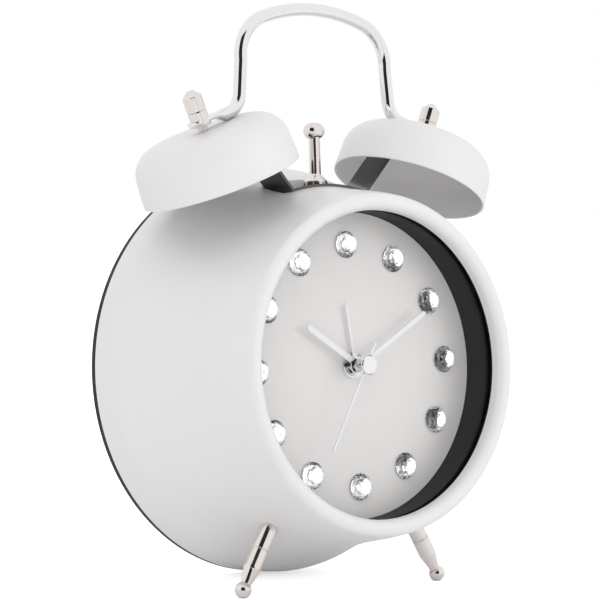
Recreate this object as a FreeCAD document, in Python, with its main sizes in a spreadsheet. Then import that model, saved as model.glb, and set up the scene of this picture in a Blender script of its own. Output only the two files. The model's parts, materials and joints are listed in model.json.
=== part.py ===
import FreeCAD, Part
import math
import os
import Sketcher

# Twin-bell alarm clock. Lengths are in millimetres, angles in degrees.
# Every piece is drawn in the clock's own frame: the dial's front face lies in the plane Y = 0 round
# the Y axis, the viewer is at -Y, +X is the viewer's right and +Z is up. The finished clock is then
# leaned back on to its two ball feet and the case's rear edge, which puts the table at Z = 0.

driving = {
    # Case: a spun steel shell, from the rolled lip in front to the straight band behind
    "opening_radius": 60.5,
    "shell_wall": 0.9,
    "lip_front": 20.2,
    "lip_roll": 3.4,
    "lip_tilt": 12.0,
    "flange_end": 14.4,
    "waist_radius": 69.4,
    "waist_front": 4.8,
    "lip_flank_curve": 125.0,
    "flare_curve": 170.0,
    "shoulder_step": 1.6,
    "shoulder_back": 42.5,
    "shoulder_curve": 20.5,
    "band_radius": 82.7,
    "band_start": 50.5,
    "case_back": 60.5,
    # Rear cover and its fixing
    "cover_rim": 2.2,
    "cover_sink": 1.8,
    "cover_web": 2.0,
    "cover_plug": 1.5,
    "cover_gap": 0.3,
    "cover_boss_count": 3,
    "window_half_width": 35.0,
    "window_half_height": 39.0,
    "window_corner": 4.0,
    "lug_wall": 1.5,
    "lug_half_angle": 5.0,
    "lug_tongue": 13.0,
    "lug_leg": 8.0,
    "cover_screw_inset": 7.5,
    "cover_screw_radius": 1.4,
    "cover_screw_head": 2.8,
    "cover_screw_head_depth": 1.2,
    "cover_screw_overrun": 2.0,
    "cover_boss_radius": 3.6,
    # Glazing and dial
    "lens_thickness": 2.0,
    "lens_radius": 62.3,
    "gasket_inner": 60.6,
    "gasket_outer": 64.0,
    "gasket_depth": 3.8,
    "gasket_lip": 0.9,
    "ring_inner": 60.9,
    "ring_flange": 2.0,
    "ring_flange_radius": 68.1,
    "dial_place": 1.2,
    "dial_radius": 68.1,
    "dial_thickness": 0.8,
    "dial_turn": -2.2,
    "marker_radius": 48.0,
    "crystal_radius": 5.35,
    "crystal_base_radius": 5.0,
    "crystal_bezel": 2.25,
    "crystal_bezel_radius": 4.3,
    "crystal_height": 3.2,
    "crystal_girdle": 0.9,
    "crystal_table": 3.0,
    "crystal_count": 12,
    "crystal_facets": 12,
    # Bells, in a frame that stands on the rim's centre with its axis up through the crown
    "bell_reach": 48.4,
    "bell_rise": 72.9,
    "bell_depth_place": 19.5,
    "bell_tilt": 22.2,
    "bell_rim_radius": 32.1,
    "bell_crown_radius": 20.4,
    "bell_shoulder": 11.0,
    "bell_height": 21.3,
    "bell_wall": 1.0,
    "stud_radius": 1.95,
    "stud_hole": 2.1,
    "stud_head_radius": 3.6,
    "stud_head": 2.6,
    "stud_depth": 9.0,
    "nut_radius": 3.9,
    "nut_barrel": 12.0,
    "nut_cone": 2.6,
    "nut_tip_radius": 1.2,
    "nut_groove": 0.3,
    # Strip that carries the bells
    "strip_wall": 1.2,
    "strip_width": 15.5,
    "seat_share": 0.2137,
    "seat_end_angle": 0.7,
    "strip_half_angle": 15.3,
    "seat_slack": 0.3,
    "seat_overrun": 2.4,
    "wing_landing": 14.5,
    "wing_seat_end": 8.0,
    # Handle: a bent wire whose flattened ends lie under the bell nuts
    "wire_radius": 2.6,
    "handle_top": 143.9,
    "handle_shoulder": 17.5,
    "handle_shoulder_in": 28.6,
    "handle_shoulder_up": 123.0,
    "handle_splay": 5.0,
    "handle_bend": 9.0,
    "lug_end_thickness": 2.2,
    "lug_end_half_width": 3.5,
    "lug_end_inner": 9.2,
    "lug_blend": 3.4,
    "lug_ease": 0.4,
    "lug_end_outer": 2.0,
    # Hammer, fixed to the middle of the strip
    "hammer_foot_radius": 4.8,
    "hammer_cone": 4.3,
    "hammer_cone_base": 0.6,
    "hammer_cone_ease": 0.4,
    "hammer_place": 21.0,
    "hammer_stem_radius": 2.3,
    "hammer_top": 95.0,
    "hammer_head_radius": 3.45,
    "hammer_head_half_length": 3.9,
    "hammer_face_radius": 2.15,
    "hammer_head_curve": 3.8,
    "hammer_flat_half": 1.35,
    "hammer_washer": 0.9,
    "hammer_washer_radius": 5.0,
    "washer_teeth": 14,
    "washer_notch_half": 0.45,
    "washer_notch_depth": 0.9,
    "hammer_stud_radius": 1.6,
    "hammer_nut": 2.6,
    "hammer_nut_radius": 3.4,
    "nut_gap": 0.15,
    "stud_overrun": 2.0,
    # Feet
    "foot_angle": 30.3,
    "foot_place": 11.5,
    "foot_radius": 3.5,
    "collar_end": 81.6,
    "foot_shoulder": 90.0,
    "foot_neck": 96.4,
    "foot_neck_radius": 2.05,
    "foot_ball_centre": 98.9,
    "foot_ball_radius": 3.35,
    "foot_stud_radius": 2.0,
    "foot_stud_hole": 2.1,
    "foot_groove": 0.35,
    "foot_nut": 3.0,
    "foot_nut_radius": 4.0,
    "foot_root": 6.0,
    "collar_root": 2.0,
    "foot_flat": 0.2,
    "saddle_gap": 0.05,
    # Movement module between the dial and the rear cover
    "module_half_width": 33.5,
    "module_half_height": 37.5,
    "module_drop": 8.0,
    "module_wall": 2.0,
    "panel_overlap": 2.5,
    "panel_web": 2.0,
    "bush_radius": 3.9,
    "bush_reach": 1.1,
    "dial_nut_radius": 5.4,
    "dial_nut_depth": 1.0,
    "edge_chamfer": 0.3,
    "running_gap": 0.05,
    "join_overlap": 0.5,
    # Hands, each with its own tube
    "alarm_tube_radius": 2.95,
    "hour_tube_radius": 2.35,
    "minute_tube_radius": 1.75,
    "second_arbor_radius": 0.9,
    "alarm_hand_front": 0.5,
    "hour_hand_front": 2.5,
    "minute_hand_front": 4.4,
    "second_hand_front": 7.7,
    "hand_thickness": 0.45,
    "boss_wall": 1.1,
    "boss_depth": 1.0,
    "alarm_hand_length": 24.8,
    "hour_hand_length": 29.9,
    "minute_hand_length": 40.3,
    "second_hand_length": 38.5,
    "second_hand_tail": 10.0,
    "alarm_hand_width": 1.2,
    "hour_hand_width": 2.4,
    "minute_hand_width": 1.9,
    "second_hand_width": 0.8,
    "alarm_hand_angle": 351.3,
    "hour_hand_angle": 301.8,
    "minute_hand_angle": 58.8,
    "second_hand_angle": 208.8,
    "cap_radius": 3.8,
    "cap_depth": 1.1,
    "cap_front": 9.6,
    "cap_face": 0.4,
    "cap_edge": 0.3,
    # Wheels: teeth are counts, tooth modules are lengths
    "train_module": 0.5,
    "hour_module": 0.48,
    "tooth_tip": 0.75,
    "tooth_root": 1.1,
    "tooth_tip_share": 0.11,
    "tooth_root_share": 0.33,
    "cannon_teeth": 12,
    "motion_teeth": 36,
    "motion_pinion_teeth": 10,
    "hour_teeth": 40,
    "setting_teeth": 12,
    "alarm_teeth": 60,
    "alarm_setting_teeth": 28,
    "wheel_thickness": 1.2,
    "alarm_wheel_place": 5.2,
    "hour_wheel_place": 7.6,
    "motion_wheel_place": 10.0,
    "second_wheel_place": 12.8,
    "second_module": 0.3,
    "second_teeth": 60,
    "wheel_collar": 0.5,
    "pinion_overlap": 0.2,
    "stem_rise": 15.0,
    "stem_radius": 1.5,
    "motion_pin_radius": 0.9,
    "plate_place": 15.4,
    "plate_thickness": 2.0,
    "plate_half_width": 28.0,
    "plate_half_height": 22.0,
    "plate_corner": 3.0,
    "pillar_radius": 2.4,
    "pillar_inset": 3.0,
    # Outside controls
    "knob_radius": 6.8,
    "knob_depth": 5.0,
    "knob_flutes": 16,
    "knob_flute_radius": 0.8,
    "knob_flute_bite": 0.5,
    "knob_edge": 0.8,
    "control_gap": 0.3,
    "switch_place": 19.0,
    "switch_travel": 5.0,
    "switch_half_length": 4.0,
    "switch_half_width": 2.2,
    "switch_stem_half": 1.5,
    "switch_proud": 1.6,
    "switch_corner": 0.8,
    "switch_foot": 1.2,
    "grille_slots": 5,
    "grille_pitch": 3.0,
    "grille_half_length": 7.0,
    "grille_half_width": 0.6,
    # Power
    "battery_radius": 7.25,
    "battery_half_length": 25.25,
    "battery_place": 33.0,
    "battery_in": 49.2,
    "battery_gap": 0.3,
    "tray_wall": 1.5,
    "contact_wall": 0.5,
    "contact_room": 2.2,
    "contact_boss": 2.0,
    "contact_cone": 2.6,
    "contact_blade": 5.5,
    "cell_nub_radius": 2.7,
    "cell_nub": 1.2,
    "cell_edge": 0.8,
    "door_half_width": 28.0,
    "door_half_height": 9.5,
    "door_thickness": 1.4,
    "rail_wall": 1.6,
    "rail_lip": 1.2,
    "rail_cover": 0.8,
    "door_rib_half_length": 6.0,
    "door_rib_half_width": 0.35,
    "door_rib_height": 0.4,
    "door_rib_pitch": 1.8,
    "door_ribs": 4,
    # Electronics
    "board_place": 21.2,
    "board_thickness": 1.6,
    "board_half_width": 24.0,
    "board_half_height": 14.0,
    "board_drop": 4.0,
    "board_post_radius": 1.5,
    "board_post_inset": 3.0,
    "board_hole_gap": 0.6,
    "coil_radius": 4.0,
    "coil_half_length": 8.0,
    "coil_across": 12.0,
    "coil_drop": 12.0,
    "buzzer_radius": 7.0,
    "buzzer_across": 11.0,
    "buzzer_drop": 8.0,
    "buzzer_depth": 6.0,
}


class Size:
    """A number together with the expression over the sheet's cells that gives it."""

    def __init__(self, number, text):
        self.number = float(number)
        self.text = text

    def joined(self, other, mark, number):
        return Size(number, "(" + self.text + " " + mark + " " + other.text + ")")

    def __add__(self, other):
        other = as_size(other)
        return self.joined(other, "+", self.number + other.number)

    def __radd__(self, other):
        return as_size(other) + self

    def __sub__(self, other):
        other = as_size(other)
        return self.joined(other, "-", self.number - other.number)

    def __rsub__(self, other):
        return as_size(other) - self

    def __mul__(self, other):
        other = as_size(other)
        return self.joined(other, "*", self.number * other.number)

    def __rmul__(self, other):
        return as_size(other) * self

    def __truediv__(self, other):
        other = as_size(other)
        return self.joined(other, "/", self.number / other.number)

    def __neg__(self):
        return as_size(0) - self

    def __float__(self):
        return self.number


def as_size(value):
    if isinstance(value, Size):
        return value
    return Size(value, repr(float(value)))


def sine(angle):
    return Size(math.sin(math.radians(angle.number)), "sin(" + angle.text + ")")


def cosine(angle):
    return Size(math.cos(math.radians(angle.number)), "cos(" + angle.text + ")")


def tangent(angle):
    return Size(math.tan(math.radians(angle.number)), "tan(" + angle.text + ")")


def root(value):
    return Size(math.sqrt(value.number), "sqrt(" + value.text + ")")


def least(first, second):
    return Size(min(first.number, second.number), "min(" + first.text + "; " + second.text + ")")


class Sizes:
    """The sheet's cells, read by name."""

    def __init__(self, cells, names):
        for name in names:
            setattr(self, name, Size(getattr(cells, name), "Sizes." + name))


doc = FreeCAD.newDocument("alarm_clock")
sheet = doc.addObject("Spreadsheet::Sheet", "Sizes")
for row, (name, value) in enumerate(driving.items(), start=1):
    sheet.set("A" + str(row), name)
    sheet.set("B" + str(row), str(value))
    sheet.setAlias("B" + str(row), name)
doc.recompute()
size = Sizes(sheet, driving)

zero = as_size(0)
whole_turn = 360.0
pieces = {}


# Drawing and feature helpers

def vector(x, y, z):
    return FreeCAD.Vector(float(x), float(y), float(z))


def bind(target, name, value):
    value = as_size(value)
    setattr(target, name, value.number)
    target.setExpression(name, value.text)


def whole(value):
    return int(round(float(value)))


def new_body(name):
    body = doc.addObject("PartDesign::Body", name)
    body.Label = name
    pieces[name] = body
    return body


def origin_item(body, role):
    return [item for item in body.Origin.OriginFeatures if item.Role == role][0]


def new_sketch(body, plane="XZ_Plane", out=0.0, shift=(0.0, 0.0), turn=0.0):
    """A sketch on one of the body's planes, moved out along its normal, shifted and turned in it."""
    sketch = body.newObject("Sketcher::SketchObject", body.Label + "_sketch")
    sketch.AttachmentSupport = [(origin_item(body, plane), "")]
    sketch.MapMode = "FlatFace"
    spin = FreeCAD.Rotation(vector(0, 0, 1), float(turn))
    sketch.AttachmentOffset = FreeCAD.Placement(vector(shift[0], shift[1], out), spin)
    return sketch


def fix_point(sketch, edge, end, across, along):
    for kind, value in (("DistanceX", as_size(across)), ("DistanceY", as_size(along))):
        index = sketch.addConstraint(Sketcher.Constraint(kind, -1, 1, edge, end, value.number))
        sketch.setExpression("Constraints[" + str(index) + "]", value.text)


def fix_radius(sketch, edge, radius):
    radius = as_size(radius)
    index = sketch.addConstraint(Sketcher.Constraint("Radius", edge, radius.number))
    sketch.setExpression("Constraints[" + str(index) + "]", radius.text)


def arc_between(start, end, radius, leftward):
    """The short arc from start to end, with its centre on the left of the way when leftward."""
    chord = end - start
    middle = (start + end) * 0.5
    height = math.sqrt(max(radius ** 2 - (chord.Length / 2) ** 2, 0.0))
    side = vector(-chord.y, chord.x, 0) / chord.Length
    centre = middle + side * (height if leftward else -height)
    first, last = (start, end) if leftward else (end, start)
    begin = math.atan2(first.y - centre.y, first.x - centre.x)
    finish = math.atan2(last.y - centre.y, last.x - centre.x)
    circle = Part.Circle(centre, vector(0, 0, 1), radius)
    return Part.ArcOfCircle(circle, begin, finish)


def draw(sketch, corners, closed=True):
    """Edges through the corners. A corner is (across, along), or (across, along, radius, side) where
    an arc leaves it towards the next corner, with its centre to the left or the right of the way."""
    count = len(corners)
    ends = []
    for number in range(count if closed else count - 1):
        corner = corners[number]
        following = corners[(number + 1) % count]
        start = vector(corner[0], corner[1], 0)
        end = vector(following[0], following[1], 0)
        if len(corner) == 4:
            leftward = corner[3] == "left"
            curve = arc_between(start, end, float(corner[2]), leftward)
            edge = sketch.addGeometry(curve, False)
            ends.append((edge, 1, 2) if leftward else (edge, 2, 1))
        else:
            edge = sketch.addGeometry(Part.LineSegment(start, end), False)
            ends.append((edge, 1, 2))
    for number, (edge, first, last) in enumerate(ends):
        if closed or number + 1 < len(ends):
            following = ends[(number + 1) % len(ends)]
            join = Sketcher.Constraint("Coincident", edge, last, following[0], following[1])
            sketch.addConstraint(join)
        fix_point(sketch, edge, first, corners[number][0], corners[number][1])
        if len(corners[number]) == 4:
            fix_radius(sketch, edge, corners[number][2])
    if not closed:
        edge, first, last = ends[-1]
        fix_point(sketch, edge, last, corners[-1][0], corners[-1][1])
    return sketch


def draw_circle(sketch, radius, across=zero, along=zero):
    circle = Part.Circle(vector(across, along, 0), vector(0, 0, 1), float(radius))
    edge = sketch.addGeometry(circle, False)
    fix_point(sketch, edge, 3, across, along)
    fix_radius(sketch, edge, radius)
    return sketch


def rectangle(half_width, half_height, across=zero, along=zero):
    return [(across - half_width, along - half_height),
            (across + half_width, along - half_height),
            (across + half_width, along + half_height),
            (across - half_width, along + half_height)]


def rounded(half_width, half_height, corner, across=zero, along=zero):
    """A rectangle whose corners are quarter arcs."""
    left, right = across - half_width, across + half_width
    low, high = along - half_height, along + half_height
    return [(left + corner, low), (right - corner, low, corner, "left"),
            (right, low + corner), (right, high - corner, corner, "left"),
            (right - corner, high), (left + corner, high, corner, "left"),
            (left, high - corner), (left, low + corner, corner, "left")]


def revolve(body, corners, axis="V_Axis", plane="XY_Plane", angle=whole_turn, cut=False):
    kind = "PartDesign::Groove" if cut else "PartDesign::Revolution"
    sketch = draw(new_sketch(body, plane), corners)
    feature = body.newObject(kind, body.Label + "_turned")
    feature.Profile = sketch
    feature.ReferenceAxis = (sketch, [axis])
    bind(feature, "Angle", angle)
    feature.Midplane = float(angle) < whole_turn
    return feature


def pad(body, sketch, length, midplane=False, reversed_way=False):
    feature = body.newObject("PartDesign::Pad", body.Label + "_pad")
    feature.Profile = sketch
    bind(feature, "Length", length)
    feature.Midplane = midplane
    feature.Reversed = reversed_way
    return feature


def pocket(body, sketch, length, midplane=False, reversed_way=False):
    feature = body.newObject("PartDesign::Pocket", body.Label + "_pocket")
    feature.Profile = sketch
    bind(feature, "Length", length)
    feature.Midplane = midplane
    feature.Reversed = reversed_way
    return feature


def bore(body, radius, length, placement):
    """A round hole: a cylinder that starts at the placement and runs along its Z axis."""
    feature = body.newObject("PartDesign::SubtractiveCylinder", body.Label + "_bore")
    bind(feature, "Radius", radius)
    bind(feature, "Height", length)
    feature.Placement = placement
    return feature


def along_y(x, y, z):
    """A placement whose Z axis points to the rear."""
    return FreeCAD.Placement(vector(x, y, z), FreeCAD.Rotation(vector(1, 0, 0), -90))


def outward(angle, distance, place):
    """A placement on a spoke of the case, with its Z axis pointing away from the dial's axis."""
    spin = FreeCAD.Rotation(vector(0, 1, 0), float(angle))
    base = spin.multVec(vector(0, 0, distance)) + vector(0, place, 0)
    return FreeCAD.Placement(base, spin)


def ring_pattern(body, originals, count, axis="Y_Axis"):
    pattern = body.newObject("PartDesign::PolarPattern", body.Label + "_ring")
    pattern.Originals = originals
    pattern.Axis = (origin_item(body, axis), [""])
    pattern.Angle = whole_turn
    pattern.Occurrences = whole(count)
    pattern.setExpression("Occurrences", count.text)
    body.Tip = pattern
    return pattern


def tube(inner, outer, start, end):
    """The outline of a tube round the Y axis."""
    return [(inner, start), (outer, start), (outer, end), (inner, end)]


def disc(radius, start, end):
    return [(zero, start), (radius, start), (radius, end), (zero, end)]


# Places that several pieces share

shoulder_radius = size.band_radius - size.shoulder_step
strip_radius = size.waist_radius + size.seat_share * (shoulder_radius - size.waist_radius)
lip_centre = size.lip_roll - size.lip_front
lip_middle = size.opening_radius + size.lip_roll
rim_back = size.case_back + size.cover_rim
web_back = rim_back - size.cover_sink
web_front = web_back - size.cover_web
lug_back = web_front - size.cover_gap
band_inner = size.band_radius - size.shell_wall
screw_circle = band_inner - size.cover_screw_inset
gasket_front = zero - size.flange_end
gasket_back = gasket_front + size.gasket_depth
module_front = size.dial_place + size.dial_thickness
module_inside = module_front + size.module_wall
panel_front = web_front - size.panel_web
panel_back = web_back - size.control_gap / 2
bell_inside = size.bell_height - size.bell_wall
strip_top = strip_radius + size.strip_wall
foot_start = size.waist_radius - size.foot_root
through = size.case_back
handle_shoulder_out = size.bell_reach - size.handle_shoulder_in
strip_front = size.bell_depth_place - size.strip_width / 2
strip_back = size.bell_depth_place + size.strip_width / 2
train_distance = size.train_module * (size.cannon_teeth + size.motion_teeth) / 2
stem_distance = size.train_module * (size.alarm_teeth + size.alarm_setting_teeth) / 2
stem_out = stem_distance * cosine(size.stem_rise)
stem_up = stem_distance * sine(size.stem_rise)


def bell_frame(side):
    """The placement of a bell's frame: side is 1 on the viewer's right and -1 on the left."""
    base = vector(side * float(size.bell_reach), size.bell_depth_place, size.bell_rise)
    return FreeCAD.Placement(base, FreeCAD.Rotation(vector(0, 1, 0), side * float(size.bell_tilt)))


def on_bell_axis(side, height, outward_shift=0.0):
    """A placement in a bell's frame, at a height on its axis or beside it."""
    base = vector(side * float(outward_shift), 0, height)
    return bell_frame(side).multiply(FreeCAD.Placement(base, FreeCAD.Rotation()))


def foot_frame(side):
    spin = FreeCAD.Rotation(vector(0, 1, 0), side * (180 - float(size.foot_angle)))
    return FreeCAD.Placement(vector(0, size.foot_place, 0), spin)


def lip_point(roll, tilt):
    """Where the rolled lip, at this radius of roll, has turned to the given slope."""
    across = lip_middle + roll * cosine(tilt)
    along = lip_centre - roll * sine(tilt)
    return across, along


# Case

def case_wall():
    """The shell's section, outside first from the flange to the rear edge, then back inside."""
    wall = size.shell_wall
    roll = size.lip_roll
    inner_roll = roll - wall
    outer_end = lip_point(roll, size.lip_tilt)
    inner_end = lip_point(inner_roll, size.lip_tilt)
    return [
        (size.opening_radius, gasket_front),
        (size.opening_radius, lip_centre, roll, "left"),
        (lip_middle, -size.lip_front, roll, "left"),
        (outer_end[0], outer_end[1], size.lip_flank_curve, "left"),
        (size.waist_radius, -size.waist_front, size.flare_curve, "right"),
        (shoulder_radius, size.shoulder_back, size.shoulder_curve, "left"),
        (size.band_radius, size.band_start),
        (size.band_radius, size.case_back),
        (band_inner, size.case_back),
        (band_inner, size.band_start, size.shoulder_curve - wall, "right"),
        (shoulder_radius - wall, size.shoulder_back, size.flare_curve + wall, "left"),
        (size.waist_radius - wall, -size.waist_front, size.lip_flank_curve - wall, "right"),
        (inner_end[0], inner_end[1], inner_roll, "right"),
        (lip_middle, wall - size.lip_front, inner_roll, "right"),
        (size.opening_radius + wall, lip_centre),
        (size.opening_radius + wall, gasket_front),
    ]


def flare_radius(place):
    """The radius of the case's flare, outside, at this depth."""
    rise = shoulder_radius - size.waist_radius
    run = size.shoulder_back + size.waist_front
    span = root(rise * rise + run * run)
    drop = root(size.flare_curve * size.flare_curve - span * span / 4)
    centre_out = (size.waist_radius + shoulder_radius) / 2 + drop * run / span
    centre_back = (size.shoulder_back - size.waist_front) / 2 - drop * rise / span
    back = place - centre_back
    return centre_out - root(size.flare_curve * size.flare_curve - back * back)


def case_core():
    """The space inside the case's outer surface, from the waist to the shoulder, and a thin gap."""
    gap = size.saddle_gap
    return [
        (zero, -size.waist_front),
        (size.waist_radius + gap, -size.waist_front, size.flare_curve, "right"),
        (shoulder_radius + gap, size.shoulder_back),
        (zero, size.shoulder_back),
    ]


def make_case():
    body = new_body("case_shell")
    revolve(body, case_wall())
    # The top has a pressed seat, in which the bell strip lies below the flare.
    seat_angle = 2 * (size.strip_half_angle + size.seat_overrun)
    wall = size.shell_wall
    front = strip_front - size.seat_slack - wall
    back = strip_back + size.seat_slack
    floor = strip_radius
    pressed = [
        (front, floor - wall), (back + wall, floor - wall),
        (back + wall, floor * 2), (front, floor * 2),
    ]
    revolve(body, pressed, "H_Axis", "YZ_Plane", seat_angle + 2 * size.seat_end_angle)
    cleared = [(front - wall, floor), (back, floor), (back, floor * 3), (front - wall, floor * 3)]
    revolve(body, cleared, "H_Axis", "YZ_Plane", seat_angle, cut=True)
    # Nothing of the seat's walls may stand proud of the flare.
    outside = [
        (size.waist_radius, -size.waist_front, size.flare_curve, "right"),
        (shoulder_radius, size.shoulder_back),
        (floor * 3, size.shoulder_back),
        (floor * 3, -size.waist_front),
    ]
    revolve(body, outside, cut=True)
    for side in (1, -1):
        spoke = outward(side * (180 - float(size.foot_angle)), foot_start, size.foot_place)
        bore(body, size.foot_stud_hole, 2 * size.foot_root, spoke)
    upright = FreeCAD.Placement(vector(0, size.hammer_place, strip_radius - size.hammer_foot_radius),
                                FreeCAD.Rotation())
    bore(body, size.hammer_stud_radius + size.running_gap, 2 * size.hammer_foot_radius, upright)
    return body


def make_rear_cover():
    body = new_body("rear_cover")
    plug_outer = band_inner - size.cover_gap
    plug_inner = plug_outer - size.cover_web
    section = [
        (zero, web_front), (plug_inner, web_front),
        (plug_inner, size.case_back - size.cover_plug),
        (plug_outer, size.case_back - size.cover_plug),
        (plug_outer, size.case_back), (size.band_radius, size.case_back),
        (size.band_radius, rim_back), (plug_inner, rim_back),
        (plug_inner, web_back), (zero, web_back),
    ]
    revolve(body, section)
    boss = new_sketch(body, "XZ_Plane", out=-float(web_front + size.join_overlap))
    draw_circle(boss, size.cover_boss_radius, zero, screw_circle)
    boss_pad = pad(body, boss, web_front - lug_back + size.join_overlap)
    ring_pattern(body, [boss_pad], size.cover_boss_count)
    hole = new_sketch(body, "XZ_Plane", out=-float(web_back))
    draw_circle(hole, size.cover_screw_radius + size.running_gap, zero, screw_circle)
    hole_cut = pocket(body, hole, through, midplane=True)
    ring_pattern(body, [hole_cut], size.cover_boss_count)
    window = new_sketch(body, "XZ_Plane", out=-float(web_back))
    draw(window, rounded(size.window_half_width, size.window_half_height, size.window_corner,
                         zero, -size.module_drop))
    pocket(body, window, through, midplane=True)
    return body


def make_cover_lugs():
    """Three angle lugs, spot-welded inside the rear band, that take the cover's screws."""
    body = new_body("cover_lugs")
    wall = size.lug_wall
    front = lug_back - size.lug_leg
    section = [
        (front, band_inner - wall), (front, band_inner),
        (lug_back, band_inner), (lug_back, band_inner - size.lug_tongue),
        (lug_back - wall, band_inner - size.lug_tongue), (lug_back - wall, band_inner - wall),
    ]
    lug = revolve(body, section, "H_Axis", "YZ_Plane", 2 * size.lug_half_angle)
    hole = new_sketch(body, "XZ_Plane", out=-float(lug_back))
    draw_circle(hole, size.cover_screw_radius + size.running_gap, zero, screw_circle)
    hole_cut = pocket(body, hole, 2 * size.lug_leg, midplane=True)
    ring_pattern(body, [lug, hole_cut], size.cover_boss_count)
    return body


def make_cover_screws():
    body = new_body("cover_screws")
    top = web_back + size.cover_screw_head_depth
    head = new_sketch(body, "XZ_Plane", out=-float(top))
    draw_circle(head, size.cover_screw_head, zero, screw_circle)
    head_pad = pad(body, head, size.cover_screw_head_depth)
    shank = new_sketch(body, "XZ_Plane", out=-float(top))
    draw_circle(shank, size.cover_screw_radius, zero, screw_circle)
    shank_pad = pad(body, shank, top - lug_back + size.lug_wall + size.cover_screw_overrun)
    ring_pattern(body, [head_pad, shank_pad], size.cover_boss_count)
    return body


# Glazing and dial

def make_glazing():
    lens_front = gasket_front + size.gasket_lip
    lens_back = lens_front + size.lens_thickness
    revolve(new_body("lens"), disc(size.lens_radius, lens_front, lens_back))
    gasket = [
        (size.gasket_inner, gasket_front), (size.gasket_outer, gasket_front),
        (size.gasket_outer, gasket_back), (size.gasket_inner, gasket_back),
        (size.gasket_inner, lens_back), (size.lens_radius, lens_back),
        (size.lens_radius, lens_front), (size.gasket_inner, lens_front),
    ]
    revolve(new_body("lens_gasket"), gasket)
    flange_front = size.dial_place - size.ring_flange
    ring = [
        (size.ring_inner, gasket_back), (size.gasket_outer, gasket_back),
        (size.gasket_outer, flange_front), (size.ring_flange_radius, flange_front),
        (size.ring_flange_radius, size.dial_place), (size.ring_inner, size.dial_place),
    ]
    revolve(new_body("dial_ring"), ring)


def make_dial():
    plate = tube(size.bush_radius + size.running_gap, size.dial_radius, size.dial_place, module_front)
    revolve(new_body("dial_plate"), plate)
    body = new_body("hour_crystals")
    levels = [
        (zero, size.crystal_base_radius),
        (size.crystal_girdle, size.crystal_radius),
        (size.crystal_bezel, size.crystal_bezel_radius),
        (size.crystal_height, size.crystal_table),
    ]
    sketches = [crystal_level(body, out - size.dial_place, radius) for out, radius in levels]
    loft = body.newObject("PartDesign::AdditiveLoft", "hour_crystals_loft")
    loft.Profile = sketches[0]
    loft.Sections = sketches[1:]
    loft.Ruled = True
    ring_pattern(body, [loft], size.crystal_count)
    body.Placement = FreeCAD.Placement(vector(0, 0, 0),
                                       FreeCAD.Rotation(vector(0, 1, 0), float(size.dial_turn)))


def crystal_level(body, out, radius):
    """One facet ring of a cut crystal, a regular polygon round the twelve o'clock place."""
    facets = whole(size.crystal_facets)
    corners = []
    for number in range(facets):
        angle = as_size(whole_turn * (number + 0.5) / facets)
        corners.append((radius * cosine(angle), size.marker_radius + radius * sine(angle)))
    return draw(new_sketch(body, "XZ_Plane", out=float(out)), corners)


# Bells, their strip, studs and nuts

def make_bells():
    wall = size.bell_wall
    crown = size.bell_crown_radius
    roll = size.bell_shoulder
    drop = size.bell_height - roll
    section = [
        (size.stud_hole, size.bell_height),
        (size.stud_hole, bell_inside),
        (crown, bell_inside, roll - wall, "right"),
        (crown + roll - wall, drop),
        (size.bell_rim_radius - wall, zero),
        (size.bell_rim_radius, zero),
        (crown + roll, drop, roll, "left"),
        (crown, size.bell_height),
    ]
    for name, side in (("bell_left", -1), ("bell_right", 1)):
        body = new_body(name)
        revolve(body, section, "V_Axis", "XZ_Plane")
        body.Placement = bell_frame(side)


def make_bell_fixings():
    head_top = bell_inside - size.strip_wall
    lug_top = size.bell_height + size.lug_end_thickness
    stud_top = lug_top + size.stud_depth
    stud = [
        (zero, head_top - size.stud_head), (size.stud_head_radius, head_top - size.stud_head),
        (size.stud_head_radius, head_top), (size.stud_radius, head_top),
        (size.stud_radius, stud_top), (zero, stud_top),
    ]
    barrel_top = lug_top + size.nut_barrel
    seam = lug_top + size.nut_barrel / 2
    groove = size.nut_groove
    nut = [
        (size.stud_radius, lug_top), (size.nut_radius, lug_top),
        (size.nut_radius, seam - groove), (size.nut_radius - groove, seam),
        (size.nut_radius, seam + groove), (size.nut_radius, barrel_top),
        (size.nut_tip_radius, barrel_top + size.nut_cone), (zero, barrel_top + size.nut_cone),
        (zero, stud_top), (size.stud_radius, stud_top),
    ]
    for suffix, side in (("_left", -1), ("_right", 1)):
        body = new_body("bell_stud" + suffix)
        revolve(body, stud, "V_Axis", "XZ_Plane")
        body.Placement = bell_frame(side)
        body = new_body("bell_nut" + suffix)
        revolve(body, nut, "V_Axis", "XZ_Plane")
        body.Placement = bell_frame(side)


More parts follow.
